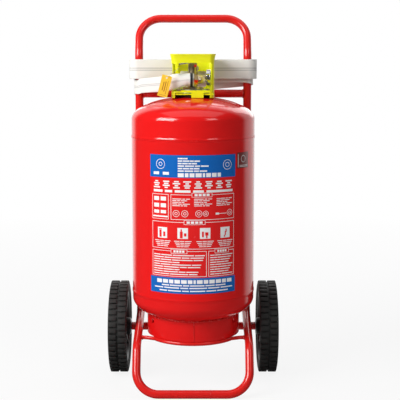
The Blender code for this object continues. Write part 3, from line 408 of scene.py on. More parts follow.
def bar_row(left, right, foot, top, shares, level=ink_level):
    """A line of plain bars that stands for words; shares are the bars' and gaps' widths."""
    total, place = sum(shares), left
    for i, share in enumerate(shares):
        step = (right - left) * share / total
        if i % 2 == 0:
            printed("label_print_white", place, place + step, foot, top, level)
        place += step


def print_ring(middle, height, radius, layer="label_print_white", thick=0.0012, level=0.0009):
    """Printed ring, laid on the barrel."""
    bpy.ops.mesh.primitive_circle_add(vertices=32, radius=radius)
    ring = bpy.context.object
    bpy.ops.object.mode_set(mode="EDIT")
    bpy.ops.mesh.extrude_edges_move()
    inner = (radius - thick) / radius
    bpy.ops.transform.resize(value=(inner, inner, 1), center_override=(0, 0, 0))
    bpy.ops.object.mode_set(mode="OBJECT")
    for vertex in ring.data.vertices:
        angle = middle * label_angle + vertex.co.x / tank_r
        reach = tank_r + level
        vertex.co = (reach * math.sin(angle), axis_y - reach * math.cos(angle),
                     height + vertex.co.y)
    prints[layer].append(ring)


def joined(pieces, main):
    """Join pieces into the main one."""
    bpy.ops.object.select_all(action="DESELECT")
    for piece in (main, *pieces):
        piece.select_set(True)
    bpy.context.view_layer.objects.active = main
    bpy.ops.object.join()
    return main


def finish_film(layer, ink, smooth):
    """Join a layer's patches into one film on the barrel."""
    film = settle(joined(prints[layer], prints[layer][0]))
    film.name = layer
    if smooth:
        bpy.ops.object.shade_smooth()
    hand_over(film, ink, "red_paint", "unit")


blue_head, blue_foot = 0.5642, 0.3126
printed("label_film_blue", -1, 1, blue_head, label_head)
printed("label_film_red", -1, 1, blue_foot, blue_head)
printed("label_film_blue", -1, 1, label_foot, blue_foot)
print_ring(-0.72, 0.5975, 0.0125)
print_ring(-0.72, 0.5975, 0.0050)
bar_row(-0.90, -0.52, 0.571, 0.578, (3, 2, 3))
for i, share in enumerate((0.32, 0.72, 0.62, 1.0, 0.70, 0.95)):
    top = 0.6140 - 0.0062 * i
    bar_row(-0.32, -0.32 + 0.66 * share, top - 0.0034, top, (5, 0.6, 7, 0.6, 4, 0.6, 6))
bar_row(-0.32, 0.62, 0.5662, 0.5762, (5, 0.9, 3, 0.9, 4, 0.9, 5, 0.9, 2, 0.9, 4, 0.9, 4, 0.9, 3))
print_ring(0.78, 0.5955, 0.0125)
print_ring(0.78, 0.5955, 0.0060)
for i in range(8):
    left = -0.90 + i * 0.2335
    for k, (inset, wide) in enumerate(((0.0, 0.165), (0.03, 0.105), (0.01, 0.145), (0.045, 0.075))):
        foot = 0.5380 + 0.0050 * ((k + i) % 4)
        printed("label_print_white", left + inset, left + inset + wide, foot, foot + 0.0032,
                ink_level)
bar_row(-0.90, 0.92, 0.5275, 0.5335, (4, 1, 3, 1, 6, 1, 4, 1, 11))
outline_box(-0.94, -0.53, 0.4594, 0.5225)
for left in (-0.89, -0.72):
    for foot, top in ((0.474, 0.482), (0.489, 0.499), (0.506, 0.516)):
        printed("label_print_white", left, left + 0.13, foot, top, ink_level)
printed("label_print_white", -0.92, -0.55, 0.4645, 0.4680, ink_level)
outline_box(-0.48, 0.96, 0.4594, 0.5225)
outline_box(-0.94, 0.96, 0.3857, 0.4535)
outline_box(-0.94, 0.30, 0.3155, 0.3805)
outline_box(0.34, 0.96, 0.3155, 0.3805)
for left, right, middle in ((-0.02, 0.42, 0.5218), (-0.19, 0.27, 0.4530), (-0.48, -0.12, 0.3795),
                            (0.48, 0.82, 0.3795)):
    printed("label_film_red", left, right, middle - 0.0062, middle + 0.0062, title_level)
    outline_box(left, right, middle - 0.0056, middle + 0.0056, 0.0009, title_level + 0.0002)
    bar_row(left + 0.06, right - 0.06, middle - 0.0028, middle + 0.0028, (3, 1, 3, 1, 3, 1, 3),
            title_level + 0.0003)
for left, right in ((-0.44, -0.06), (0.03, 0.42), (0.52, 0.90)):
    for i in range(5):
        top = 0.5125 - 0.0042 * i
        shares = (4, 0.7, 3, 0.7, 6) if i % 2 else (7, 0.7, 2, 0.7, 3)
        bar_row(left, right - 0.06 * (i % 3), top - 0.0018, top, shares)
for middle, radius in ((-0.36, 0.0085), (-0.17, 0.0085), (0.13, 0.0085), (0.28, 0.0070),
                       (0.84, 0.0080)):
    print_ring(middle, 0.4750, radius, thick=0.0010)
    print_ring(middle, 0.4750, radius * 0.45, thick=0.0010)
printed("label_print_white", 0.50, 0.58, 0.4715, 0.4765, ink_level)
printed("label_print_white", 0.58, 0.76, 0.4732, 0.4745, ink_level)
tiles = ((-0.68, ((-0.075, -0.020, 0.414, 0.432), (-0.085, -0.010, 0.433, 0.435),
                  (0.02, 0.07, 0.416, 0.428))),
         (-0.217, ((-0.06, 0.0, 0.413, 0.430), (-0.045, -0.015, 0.430, 0.436),
                   (0.03, 0.08, 0.418, 0.426))),
         (0.267, ((-0.07, -0.03, 0.416, 0.430), (0.0, 0.07, 0.420, 0.428),
                  (0.02, 0.05, 0.413, 0.420))),
         (0.729, ((-0.010, 0.015, 0.418, 0.428), (0.010, 0.035, 0.426, 0.434),
                  (-0.030, -0.005, 0.414, 0.419))))
for middle, shapes in tiles:
    printed("label_print_white", middle - 0.114, middle + 0.114, 0.4118, 0.4391, ink_level)
    for i in range(4):
        top, inset = 0.4060 - 0.0044 * i, 0.02 * i
        bar_row(middle - 0.19 + inset, middle + 0.19 - inset, top - 0.0017, top,
                (5, 0.6, 4, 0.6, 6))
    for left, right, foot, top in shapes:
        printed("label_print_red", middle + left, middle + right, foot, top, 0.0011)
for i in range(9):
    top = 0.3705 - 0.0060 * i
    shares = (6, 0.5, 9, 0.5, 4, 0.5, 7) if i % 2 else (4, 0.5, 6, 0.5, 11, 0.5, 5)
    bar_row(-0.90, 0.26 - (0.55 if i in (3, 6) else 0.02 * i), top - 0.0024, top, shares)
    bar_row(0.38, 0.92 - 0.035 * (i % 4), top - 0.0022, top, shares[:5])
bar_row(-0.82, 0.90, 0.2975, 0.3070,
        (5, 1, 5, 1, 4, 1, 5, 1, 5, 1, 4, 1, 2, 1, 5, 1, 4, 1, 5, 1, 5, 1, 4, 1, 5))
for top, left in ((0.2940, -0.70), (0.2875, -0.88), (0.2800, -0.76)):
    bar_row(left, -left + 0.04, top - 0.0030, top, (5, 0.6, 8, 0.6, 4, 0.6, 9, 0.6, 6, 0.6, 7))
for layer, ink in (("label_film_blue", print_blue), ("label_film_red", print_red),
                   ("label_print_white", print_white), ("label_print_red", print_red)):
    finish_film(layer, ink, True)

# Small dark sticker at the right of the label: a seal of film with a ring and a few bars.
sticker_ink = finish("sticker_maroon_ink", (0.17, 0.020, 0.016), 0.30, blotch=0.15,
                     blotch_size=0.01, grain=0.002, depth=0.00002, coat=0.4)
prints.update(sticker_film=[], sticker_print=[])
printed("sticker_film", 1.06, 1.46, 0.5830, 0.6230)
printed("sticker_print", 1.08, 1.095, 0.5860, 0.6190, ink_level)
for foot in (0.5865, 0.5895):
    printed("sticker_print", 1.13, 1.42, foot, foot + 0.0012, ink_level)
print_ring(1.26, 0.6065, 0.0090, "sticker_print", level=ink_level)
finish_film("sticker_film", sticker_ink, False)
finish_film("sticker_print", print_white, False)

# Trolley frame: bent round steel tube in two bows that meet behind the wheels, with a cross
# bar under the dome and a bent rod that the skirt rests on. All welded and coated red.


def rounded_route(corners, radii, step=6.0):
    """Points along straight lines between corners, with an arc of each radius at each corner."""
    points = [Vector(corners[0])]
    for before, corner, after, radius in zip(corners, corners[1:], corners[2:], radii):
        corner = Vector(corner)
        back = (Vector(before) - corner).normalized()
        ahead = (Vector(after) - corner).normalized()
        half = back.angle(ahead) / 2
        middle = corner + (back + ahead).normalized() * (radius / math.sin(half))
        first = (corner + back * (radius / math.tan(half)) - middle).normalized()
        last = (corner + ahead * (radius / math.tan(half)) - middle).normalized()
        count = max(2, math.ceil(math.degrees(first.angle(last)) / step))
        points += [middle + first.slerp(last, i / count) * radius for i in range(count + 1)]
    return points + [Vector(corners[-1])]


frame_red = finish("frame_red_coat", (0.68, 0.012, 0.009), 0.20, blotch=0.04, blotch_size=0.06,
                   grain=0.0025, depth=0.00004, coat=0.2)
bar_low, bar_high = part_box("cross_bar")
bow_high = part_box("handle_bow")[1]
foot_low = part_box("foot_bow")[0]
tube_r = (bar_high.z - bar_low.z) / 2
half_span = bow_high.x - tube_r
upright_y = (bar_low.y + bar_high.y) / 2
handle_y, handle_z = bow_high.y - tube_r, bow_high.z - tube_r
lean_rise = 0.094
lean_z, joint_z = handle_z - lean_rise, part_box("left_upright")[0].z
corner_r, lean_bend_r, rear_bend_r, knee_bend_r = 0.058, 0.060, 0.032, 0.035
handle = [(-half_span, upright_y, joint_z), (-half_span, upright_y, lean_z),
          (-half_span, handle_y, handle_z), (half_span, handle_y, handle_z),
          (half_span, upright_y, lean_z), (half_span, upright_y, joint_z)]
handle = rounded_route(handle, (lean_bend_r, corner_r, corner_r, lean_bend_r))
hand_over(tube("handle_bow_tube", handle, tube_r, 8), frame_red, "red_paint", "unit", "handle_bow",
          "left_upright", "right_upright")

axle_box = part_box("axle_tube")
axle_y, axle_z = (axle_box[0].y + axle_box[1].y) / 2, (axle_box[0].z + axle_box[1].z) / 2
knee_y, foot_y = axis_y - 0.105, foot_low.y + tube_r
run_rear, run_front = axle_z + 0.040, axle_z - 0.005
half_foot = [(-half_span, upright_y, joint_z - seam_gap), (-half_span, upright_y, run_rear),
             (-half_span, knee_y, run_front), (-half_span, foot_y, tube_r)]
foot = half_foot + [(-x, y, z) for x, y, z in reversed(half_foot)]
foot = rounded_route(foot, (rear_bend_r, knee_bend_r, corner_r, corner_r, knee_bend_r,
                            rear_bend_r))
hand_over(tube("foot_bow_tube", foot, tube_r, 8), frame_red, "red_paint", "unit", "foot_bow")

bar_z = (bar_low.z + bar_high.z) / 2
bar = [(bar_low.x, upright_y, bar_z), (bar_high.x, upright_y, bar_z)]
hand_over(tube("cross_bar_tube", bar, tube_r, 8), frame_red, "red_paint", "unit", "cross_bar")

cradle_low, cradle_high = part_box("cradle_bar")
rod_r = (cradle_high.z - cradle_low.z) / 2 + 0.0002
cradle_z = (cradle_low.z + cradle_high.z) / 2
bend_r, cradle_y = skirt_r - 0.0025, cradle_high.y - rod_r
bend = [math.radians(214 + 112 * i / 56) for i in range(57)]
lead = cradle_high.x - 0.010
cradle = [(-cradle_high.x, cradle_y, cradle_z), (-lead, cradle_y, cradle_z)]
cradle += [(bend_r * math.cos(a), axis_y + bend_r * math.sin(a), cradle_z) for a in bend]
cradle += [(lead, cradle_y, cradle_z), (cradle_high.x, cradle_y, cradle_z)]
hand_over(tube("cradle_bar_rod", cradle, rod_r, 6), frame_red, "red_paint", "unit", "cradle_bar")

# Frame welds: a low bead round each joint of the tubes and of the rod under the skirt, coated
# with the frame. The saddle and the axle's lugs keep their shapes.


def weld_ring(name, centre, along, radius, thick=0.0016):
    """Bead round a bar at a joint."""
    bpy.ops.object.select_all(action="DESELECT")
    bpy.ops.mesh.primitive_torus_add(major_segments=40, minor_segments=8, major_radius=radius,
                                     minor_radius=thick)
    weld = bpy.context.object
    weld.name = name
    settle(weld, centre, Vector(along).to_track_quat("Z", "Y").to_euler())
    bpy.ops.object.shade_smooth()
    return hand_over(weld, weld_red, "red_paint", "unit")


for side, sign in (("left", -1), ("right", 1)):
    weld_ring(side + "_cross_bar_weld", (sign * (bar_high.x - 0.0006), upright_y, bar_z),
              (1, 0, 0), tube_r)
    weld_ring(side + "_bow_joint_weld", (sign * half_span, upright_y, joint_z), (0, 0, 1),
              tube_r - 0.0002)
    weld_ring(side + "_cradle_weld", (sign * (cradle_high.x - 0.0004), cradle_y, cradle_z),
              (1, 0, 0), rod_r)
weld_ring("foot_bar_joint_weld", (0.045, foot_y, tube_r), (1, 0, 0), tube_r - 0.0009, 0.0014)
keep("tank_saddle", frame_red)
for side in ("left", "right"):
    keep(side + "_axle_lug", frame_red)

# Axle: a steel tube welded to the lugs with a bright shaft through it, and at each end a
# washer on both sides of the hub and a pressed cap over the shaft's end.
zinc = finish("zinc_plate", (0.55, 0.56, 0.58), 0.34, 1.0, blotch=0.12, blotch_size=0.006,
              grain=0.0006, depth=0.00002)
brass = finish("machined_brass", (0.70, 0.50, 0.24), 0.28, 1.0, blotch=0.10, blotch_size=0.008,
               grain=0.0007, depth=0.00002)
tube_end, axle_r, bore_r = axle_box[1].x, (axle_box[1].z - axle_box[0].z) / 2, 0.0083
axle = [(axle_r, -tube_end + 0.0008), (axle_r, tube_end - 0.0008), (axle_r - 0.0008, tube_end),
        (bore_r, tube_end), (bore_r, -tube_end), (axle_r - 0.0008, -tube_end),
        (axle_r, -tube_end + 0.0008)]
axle = settle(turned("axle_tube_coated", axle, 48), (0, axle_y, axle_z), (0, math.pi / 2, 0))
hand_over(axle, frame_red, "red_paint", "unit", "axle_tube")
keep("axle_shaft", zinc)
for side, sign in (("left", -1), ("right", 1)):
    keep(side + "_inner_washer", zinc)
    keep(side + "_outer_washer", zinc)
    keep(side + "_wheel_bush", brass)
    low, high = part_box(side + "_axle_cap")
    deep, wide = high.x - low.x, (high.z - low.z) / 2
    cap_inside = deep - 0.0017
    cap = [(0, deep), (0.0055, deep), (wide - 0.0030, deep - 0.0004),
           (wide - 0.0012, deep - 0.0013), (wide - 0.0004, deep - 0.0028), (wide, deep - 0.0045),
           (wide, 0.0004), (wide - 0.0004, 0), (bore_r, 0), (bore_r, cap_inside),
           (0, cap_inside)]
    cap = settle(turned(side + "_axle_cap_pressed", cap, 48),
                 (low.x if sign > 0 else high.x, axle_y, axle_z), (0, sign * math.pi / 2, 0))
    hand_over(cap, frame_red, "red_paint", "unit", side + "_axle_cap")

# Wheels: a solid rubber tyre with two staggered rows of tread blocks, shrunk on a moulded
# black plastic rim whose web has ribs on both sides, turning on a brass bush.


def slab(size, place=(0, 0, 0)):
    """Closed box of a size about a point."""
    bpy.ops.object.select_all(action="DESELECT")
    bpy.ops.mesh.primitive_cube_add(size=1, location=place)
    made = bpy.context.object
    made.scale = size
    bpy.ops.object.transform_apply()
    return made


def soften(piece, radius, segments=2):
    """Round all the edges of a piece."""
    edge = piece.modifiers.new("edges", "BEVEL")
    edge.width, edge.segments = radius, segments
    bpy.ops.object.modifier_apply(modifier=edge.name)


rubber = finish("tyre_rubber", (0.016, 0.016, 0.015), 0.72, blotch=0.25, blotch_size=0.02,
                grain=0.0016, depth=0.00008)
rim_plastic = finish("rim_plastic", (0.020, 0.020, 0.021), 0.42, blotch=0.12, blotch_size=0.03,
                     grain=0.0009, depth=0.00005)
tyre_low, tyre_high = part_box("right_tyre")
wheel_x, half_tyre = (tyre_low.x + tyre_high.x) / 2, (tyre_high.x - tyre_low.x) / 2
wheel_r, seat_r = 0.125, 0.098
tread_floor, blocks = wheel_r - 0.0042, 47
tyre = [(seat_r, -half_tyre + 0.0030), (seat_r + 0.004, -half_tyre + 0.0012),
        (seat_r + 0.008, -half_tyre + 0.0022), (seat_r + 0.0085, -half_tyre + 0.0008),
        (tread_floor - 0.008, -half_tyre), (tread_floor - 0.003, -half_tyre + 0.0006),
        (tread_floor, -half_tyre + 0.0030)]
tyre += [(r, -z) for r, z in reversed(tyre)] + [tyre[0]]
tyre = turned("tyre_carcass", tyre, 128)
block_row, block_lean, block_sink = 0.0127, 0.10, 0.0030
block = slab((0.0060, 0.0118, 0.0205))
soften(block, 0.0012)
for vertex in block.data.vertices:
    vertex.co.y += abs(vertex.co.z) * block_lean
    vertex.co.x += wheel_r - block_sink
tread = []
for i in range(blocks):
    for side in (-1, 1):
        copy = bpy.data.objects.new("tread_block", block.data.copy())
        scene.collection.objects.link(copy)
        turn = 2 * math.pi * (i + 0.25 * side) / blocks
        copy.matrix_world = Euler((0, 0, turn)).to_matrix().to_4x4()
        for vertex in copy.data.vertices:
            vertex.co.z += side * block_row
        tread.append(copy)
bpy.data.objects.remove(block, do_unlink=True)
joined(tread, tyre)
bpy.ops.object.shade_smooth_by_angle(angle=math.radians(35))

lip, hub_r, hub_in = seat_r - seam_gap, 0.023, 0.0113
rim_low, rim_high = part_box("right_rim")
hub_low, hub_high = rim_low.x - wheel_x, rim_high.x - wheel_x
half_lip = half_tyre - 0.004
rim = [(hub_in, hub_high - 0.001), (hub_in + 0.001, hub_high), (hub_r - 0.002, hub_high),
       (hub_r, hub_high - 0.002), (hub_r, 0.007), (hub_r + 0.003, 0.004), (lip - 0.013, 0.004),
       (lip - 0.009, 0.007), (lip - 0.0065, half_lip - 0.003), (lip - 0.005, half_lip - 0.0006),
       (lip - 0.001, half_lip), (lip, half_lip - 0.001)]
rim += [(lip, -half_lip + 0.001), (lip - 0.001, -half_lip), (lip - 0.005, -half_lip + 0.0006),
        (lip - 0.0065, -half_lip + 0.003), (lip - 0.009, -0.007), (lip - 0.013, -0.004),
        (hub_r + 0.003, -0.004), (hub_r, -0.007), (hub_r, hub_low + 0.002),
        (hub_r - 0.002, hub_low), (hub_in + 0.001, hub_low), (hub_in, hub_low + 0.001),
        (hub_in, hub_high - 0.001)]
rim = turned("rim_moulding", rim, 96)
ribs, rib_end = [], lip - 0.007
for i in range(8):
    for side in (-1, 1):
        rib = slab((rib_end - hub_r, 0.0045, 0.0110))
        for vertex in rib.data.vertices:
            if vertex.co.x > 0:
                vertex.co.z += side * 0.003 if vertex.co.z * side > 0 else 0
            vertex.co.x += (rib_end + hub_r) / 2
            vertex.co.z += side * 0.0090
        soften(rib, 0.0008)
        settle(rib, (0, 0, 0), (0, 0, math.pi * i / 4))
        ribs.append(rib)
joined(ribs, rim)
bpy.ops.object.shade_smooth_by_angle(angle=math.radians(35))
for kind, part, material, slot in (("tyre", tyre, rubber, "black_rubber"),
                                   ("rim", rim, rim_plastic, "black_plastic")):
    for side, sign in (("left", -1), ("right", 1)):
        copy = bpy.data.objects.new(side + "_" + kind + "_moulded", part.data.copy())
        scene.collection.objects.link(copy)
        settle(copy, (sign * wheel_x, axle_y, axle_z), (0, sign * math.pi / 2, 0))
        hand_over(copy, material, slot, side + "_wheel", side + "_" + kind)
    bpy.data.objects.remove(part, do_unlink=True)

# Hose: a lay-flat woven hose. It leaves the valve round, flattens, passes to the left upright
# and is wound flat round both uprights; its last turn rounds up again and hangs to the nozzle.


def smooth_route(corners, step):
    """A Catmull-Rom curve through the corners, with points about step apart."""
    knots = [Vector(c) for c in corners]
    knots = [2 * knots[0] - knots[1], *knots, 2 * knots[-1] - knots[-2]]
    points = []
    for a, b, c, d in zip(knots, knots[1:], knots[2:], knots[3:]):
        count = max(1, round((c - b).length / step))
        for i in range(count):
            t = i / count
            points.append(0.5 * (2 * b + (c - a) * t + (2 * a - 5 * b + 4 * c - d) * t**2
                                 + (3 * b - a - 3 * c + d) * t**3))
    return points + [knots[-2]]


def at_key(keys, where):
    """Straight-line value between (place, value) keys."""
    for (a, low), (b, high) in zip(keys, keys[1:]):
        if where <= b:
            return low + (high - low) * max(0.0, where - a) / (b - a)
    return keys[-1][1]


def route_lengths(points):
    """Distance along a route at each of its points."""
    along = [0.0]
    for a, b in zip(points, points[1:]):
        along.append(along[-1] + (b - a).length)
    return along


hose_width, hose_thick, layer_gap, hose_turns, hose_end_r = 0.053, 0.0023, 0.0003, 5, 0.0165
coupling_low, coupling_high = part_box("coupling_nut")
outlet_y = (coupling_low.y + coupling_high.y) / 2
outlet_z = (coupling_low.z + coupling_high.z) / 2
hose_start = Vector((coupling_low.x - 0.0012, outlet_y, outlet_z))
hose_rise, first_drop = 0.069, 0.0205
hose_z = dome_base + top_dome + hose_rise
first_z = hose_z - hose_width / 2 - first_drop
first_angle, first_wide = -146, 0.0195
first_heights = (first_z, hose_z - 0.020, hose_z - 0.010)
core_r = tube_r + layer_gap + hose_thick / 2
layer = hose_thick + layer_gap
flat_wide, flat_thick = hose_width / 2, hose_thick / 2
radial = Vector((math.cos(math.radians(first_angle)), math.sin(math.radians(first_angle)), 0))
contact = Vector((-half_span, upright_y, first_z)) + radial * core_r
heading = Vector((radial.y, -radial.x, 0))
lead = [hose_start + Vector(offset) for offset in
        ((0, 0, 0), (-0.013, 0, 0), (-0.026, -0.0006, -0.0012), (-0.050, 0.0010, -0.0050),
         (-0.078, 0.020, -0.0110))]
lead += [contact - heading * 0.040 + Vector((0, 0, 0.004)), contact - heading * 0.016, contact]
points = smooth_route(lead, 0.005)
along = route_lengths(points)
length = along[-1]
widths = [(0, hose_end_r), (0.02, hose_end_r + 0.0005), (0.05, 0.0205), (length, first_wide)]
depths = [(0, hose_end_r), (0.02, hose_end_r - 0.001), (0.05, 0.0095), (0.09, 0.0045),
          (length - 0.04, flat_thick), (length, flat_thick)]
stations = [(p, at_key(widths, s), at_key(depths, s)) for p, s in zip(points, along)]
straight_steps, arc_steps = 12, 16
for turn in range(hose_turns + 1):
    radius = core_r + layer * turn
    z_left, z_back, z_right = (hose_z, hose_z, hose_z) if turn else first_heights
    begin, begin_wide = (-90, flat_wide) if turn else (first_angle, first_wide)
    if turn:
        last = stations[-1][0].copy()
        goal = Vector((-half_span, upright_y - radius, z_left))
        stations += [(last.lerp(goal, i / straight_steps), flat_wide, flat_thick)
                     for i in range(1, straight_steps)]
    for i in range(0 if turn else 1, arc_steps + 1):
        share = i / arc_steps
        angle = math.radians(begin + (-270 - begin) * share)
        where = Vector((-half_span + radius * math.cos(angle),
                        upright_y + radius * math.sin(angle), z_left))
        stations.append((where, begin_wide + (flat_wide - begin_wide) * share, flat_thick))
    if turn == hose_turns:
        break
    radius += layer / 2
    last = stations[-1][0].copy()
    goal = Vector((half_span, upright_y + radius, z_back))
    stations += [(last.lerp(goal, i / straight_steps), flat_wide, flat_thick)
                 for i in range(1, straight_steps)]
    for i in range(arc_steps + 1):
        angle = math.radians(90 - 180 * i / arc_steps)
        where = Vector((half_span + radius * math.cos(angle),
                        upright_y + radius * math.sin(angle),
                        z_back + (z_right - z_back) * i / arc_steps))
        stations.append((where, flat_wide, flat_thick))
wound = len(stations)
last_y = upright_y + core_r + layer * hose_turns
nozzle_low, nozzle_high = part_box("nozzle_body")
nozzle_x, nozzle_y = (nozzle_low.x + nozzle_high.x) / 2, (nozzle_low.y + nozzle_high.y) / 2
hose_end_z = hose_z - 0.132
tail = [(-half_span, last_y, hose_z), (-0.100, last_y + 0.001, hose_z - 0.001),
        (-0.058, last_y + 0.007, hose_z - 0.012), (-0.020, last_y + 0.018, hose_z - 0.036),
        (0.004, last_y + 0.033, hose_z - 0.070), (0.014, nozzle_y - 0.003, hose_z - 0.100),
        (nozzle_x, nozzle_y, hose_end_z + 0.014), (nozzle_x, nozzle_y, hose_end_z)]
points = smooth_route(tail, 0.004)[1:]
along = route_lengths(points)
length = along[-1]
widths = [(0, flat_wide), (length * 0.35, 0.025), (length * 0.7, hose_end_r + 0.001),
          (length, hose_end_r)]
depths = [(0, flat_thick), (length * 0.2, 0.003), (length * 0.6, 0.011),
          (length * 0.85, hose_end_r)]
stations += [(p, at_key(widths, s), at_key(depths, s)) for p, s in zip(points, along)]

hose_sides = 28
mesh = bpy.data.meshes.new("hose_woven")
bm = bmesh.new()
weave = bm.loops.layers.uv.new("weave")
rings, runs = [], route_lengths([s[0] for s in stations])
for i, (point, wide, thick) in enumerate(stations):
    before = (point - stations[i - 1][0]).normalized() if i else Vector((-1, 0, 0))
    following = stations[i + 1][0] - point if i + 1 < len(stations) else Vector((0, 0, -1))
    after = following.normalized()
    ahead = (before + after).normalized()
    inward = ahead.cross((0, 0, 1)) if i < wound else Vector((0, -1, 0))
    normal = (inward - ahead * inward.dot(ahead)).normalized()
    up = normal.cross(ahead)
    power = 0.45 + 0.55 * min(1.0, thick / wide)
    ring = []
    for j in range(hose_sides):
        angle = 2 * math.pi * j / hose_sides
        c, s = math.cos(angle), math.sin(angle)
        ring.append(bm.verts.new(point + up * math.copysign(abs(c) ** power, c) * wide * 0.975
                                 + normal * math.copysign(abs(s) ** power, s) * thick * 0.985))
    rings.append(ring)
for one, two, start, end in zip(rings, rings[1:], runs, runs[1:]):
    for j in range(hose_sides):
        next_j = (j + 1) % hose_sides
        face = bm.faces.new((one[j], one[next_j], two[next_j], two[j]))
        corners = ((start, j), (start, j + 1), (end, j + 1), (end, j))
        for loop, (run, side) in zip(face.loops, corners):
            loop[weave].uv = (run, side / hose_sides)
for end_ring in (rings[0], rings[-1]):
    bm.faces.new(end_ring)
bmesh.ops.recalc_face_normals(bm, faces=bm.faces)
bm.to_mesh(mesh)
bm.free()
hose = bpy.data.objects.new("hose_woven", mesh)
scene.collection.objects.link(hose)
bpy.ops.object.select_all(action="DESELECT")
hose.select_set(True)
bpy.context.view_layer.objects.active = hose
bpy.ops.object.shade_smooth()

jacket = finish("hose_jacket", (0.79, 0.78, 0.735), 0.80, blotch=0.04, blotch_size=0.03,
                grain=0.0015, depth=0.0001)
nodes, links = jacket.node_tree.nodes, jacket.node_tree.links
shader = nodes["Principled BSDF"]
shader.inputs["Sheen Weight"].default_value = 0.25
tone = shader.inputs["Base Color"].links[0].from_node
uv = nodes.new("ShaderNodeUVMap")
uv.uv_map = "weave"
axes = nodes.new("ShaderNodeSeparateXYZ")
links.new(uv.outputs["UV"], axes.inputs[0])


def formula(operation, a, b=None):
    """Result of a Math node fed by sockets or numbers."""
    node = shader_node(nodes, "Math", operation)
    for socket, value in zip(node.inputs, (a, b)):
        if isinstance(value, (int, float)):
            socket.default_value = value
        elif value is not None:
            links.new(value, socket)
    return node.outputs[0]


run, round_it = axes.outputs["X"], axes.outputs["Y"]
stripe_out, stripe_half, stripe_share = 0.015, 0.0075, 0.62
yarn_pitch, weft_count = 0.0026, 36
middle = formula("SUBTRACT", formula("FRACT", formula("MULTIPLY", round_it, 2.0)), 0.5)
twin = formula("ABSOLUTE", formula("SUBTRACT", formula("ABSOLUTE", middle), stripe_out))
stripe = formula("MULTIPLY", formula("LESS_THAN", twin, stripe_half), stripe_share)
yarn = formula("SINE", formula("MULTIPLY", run, 2 * math.pi / yarn_pitch))
yarn = formula("MULTIPLY", yarn, 0.5)
weft = formula("SINE", formula("MULTIPLY", round_it, 2 * math.pi * weft_count))
weft = formula("MULTIPLY", weft, 0.5)
cloth = formula("MULTIPLY", yarn, weft)
stained = nodes.new("ShaderNodeMix")
stained.data_type = "RGBA"
stained.inputs["B"].default_value = (0.34, 0.35, 0.34, 1)
links.new(stripe, stained.inputs["Factor"])
links.new(tone.outputs["Result"], stained.inputs["A"])
links.new(stained.outputs["Result"], shader.inputs["Base Color"])
bump = shader.inputs["Normal"].links[0].from_node
bump.inputs["Distance"].default_value = 0.0003
links.new(formula("ADD", cloth, 0.5), bump.inputs["Height"])
hand_over(hose, jacket, "white_hose", "unit", "hose")

# Hose fittings: a thin black clamp band on each end with its worm housing, a brass nut at the
# valve, and a brass insert at the nozzle.
black_band = finish("clamp_black", (0.018, 0.018, 0.019), 0.38, blotch=0.15, blotch_size=0.01,
                    grain=0.0008, depth=0.00004)
for node, turn in (("hose_clamp", (0, math.pi / 2, 0)), ("hose_end_clamp", (0, 0, 0))):
    low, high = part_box(node)
    middle = (low + high) / 2
    wide = (high.y - low.y) / 2
    half = min(high - low) / 2 - 0.0018
    band = [(wide, half - 0.0012), (wide, -half + 0.0012), (wide + 0.0004, -half + 0.0006),
            (wide - 0.0004, -half), (wide - 0.0015, -half), (wide - 0.0015, half),
            (wide - 0.0004, half), (wide + 0.0004, half - 0.0006), (wide, half - 0.0012)]
    band = turned(node + "_band", [(r - 0.0004, z) for r, z in band], 64)
    worm = slab((0.011, 0.0040, 2 * half - 0.0012), (0, -wide - 0.0010, 0))
    soften(worm, 0.0009, 3)
    carve(band, worm, "UNION")
    settle(band, middle, turn)
    hand_over(band, black_band, "black_plastic", "unit", node)
keep("coupling_nut", brass)
keep("hose_tail", brass)
keep("nozzle_coupling", brass)

# Nozzle: a black moulded shut-off nozzle with grip rings and a flared tip, held behind the
# tank in a sprung steel clip, with a red lever on its ball valve.
top, grip_r, groove_r = nozzle_high.z, 0.0135, 0.0125
nozzle = [(0, 0.0), (grip_r - 0.0010, 0.0), (grip_r, -0.0010)]
for i in range(6):
    at = -0.030 - 0.0040 * i
    nozzle += [(grip_r, at), (groove_r, at - 0.0006), (groove_r, at - 0.0022),
               (grip_r, at - 0.0028)]
nozzle += [(grip_r, -0.0545), (grip_r - 0.0006, -0.0570), (0.0102, -0.0665), (0.0095, -0.0700),
           (0.0095, -0.1290), (0.0099, -0.1350), (0.0110, -0.1430), (0.0125, -0.1490),
           (0.0123, -0.1500), (0.0098, -0.1500), (0.0085, -0.1400), (0.0070, -0.1300),
           (0, -0.1280)]
nozzle = settle(turned("nozzle_moulding", nozzle, 64), (nozzle_x, nozzle_y, top))
nozzle_black = finish("nozzle_plastic", (0.020, 0.020, 0.021), 0.36, blotch=0.12, blotch_size=0.02,
                      grain=0.0009, depth=0.00004)
hand_over(nozzle, nozzle_black, "black_plastic", "unit", "nozzle_body")
keep("nozzle_clip", zinc)
keep("nozzle_valve_handle", frame_red)

# Valve: a cast and machined brass body clamped to the neck by a ring nut, a plated lever on a
# cross pin, a locking pin with a pull ring, and a red plastic seal on the pin's end.
chrome = finish("chrome_plate", (0.80, 0.80, 0.81), 0.10, 1.0, blotch=0.04, blotch_size=0.01,
                grain=0.001, depth=0.00001)
cast_brass = finish("cast_brass", (0.62, 0.50, 0.36), 0.30, 1.0, blotch=0.14, blotch_size=0.006,
                    grain=0.0010, depth=0.00006)
seal_red = finish("seal_red_plastic", (0.72, 0.02, 0.015), 0.30, blotch=0.06, blotch_size=0.004,
                  grain=0.0008, depth=0.00002, coat=0.3)
keep("neck_ring", tank_red)
keep("dip_tube", zinc)
keep("valve_body", cast_brass)
keep("valve_stem", chrome)
keep("spring_retainer", brass)
keep("valve_spring", zinc)
keep("lever", chrome)
keep("lever_pin", zinc)
keep("safety_pin", zinc)
keep("seal_cap", seal_red)
nut_low, nut_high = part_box("ring_nut")
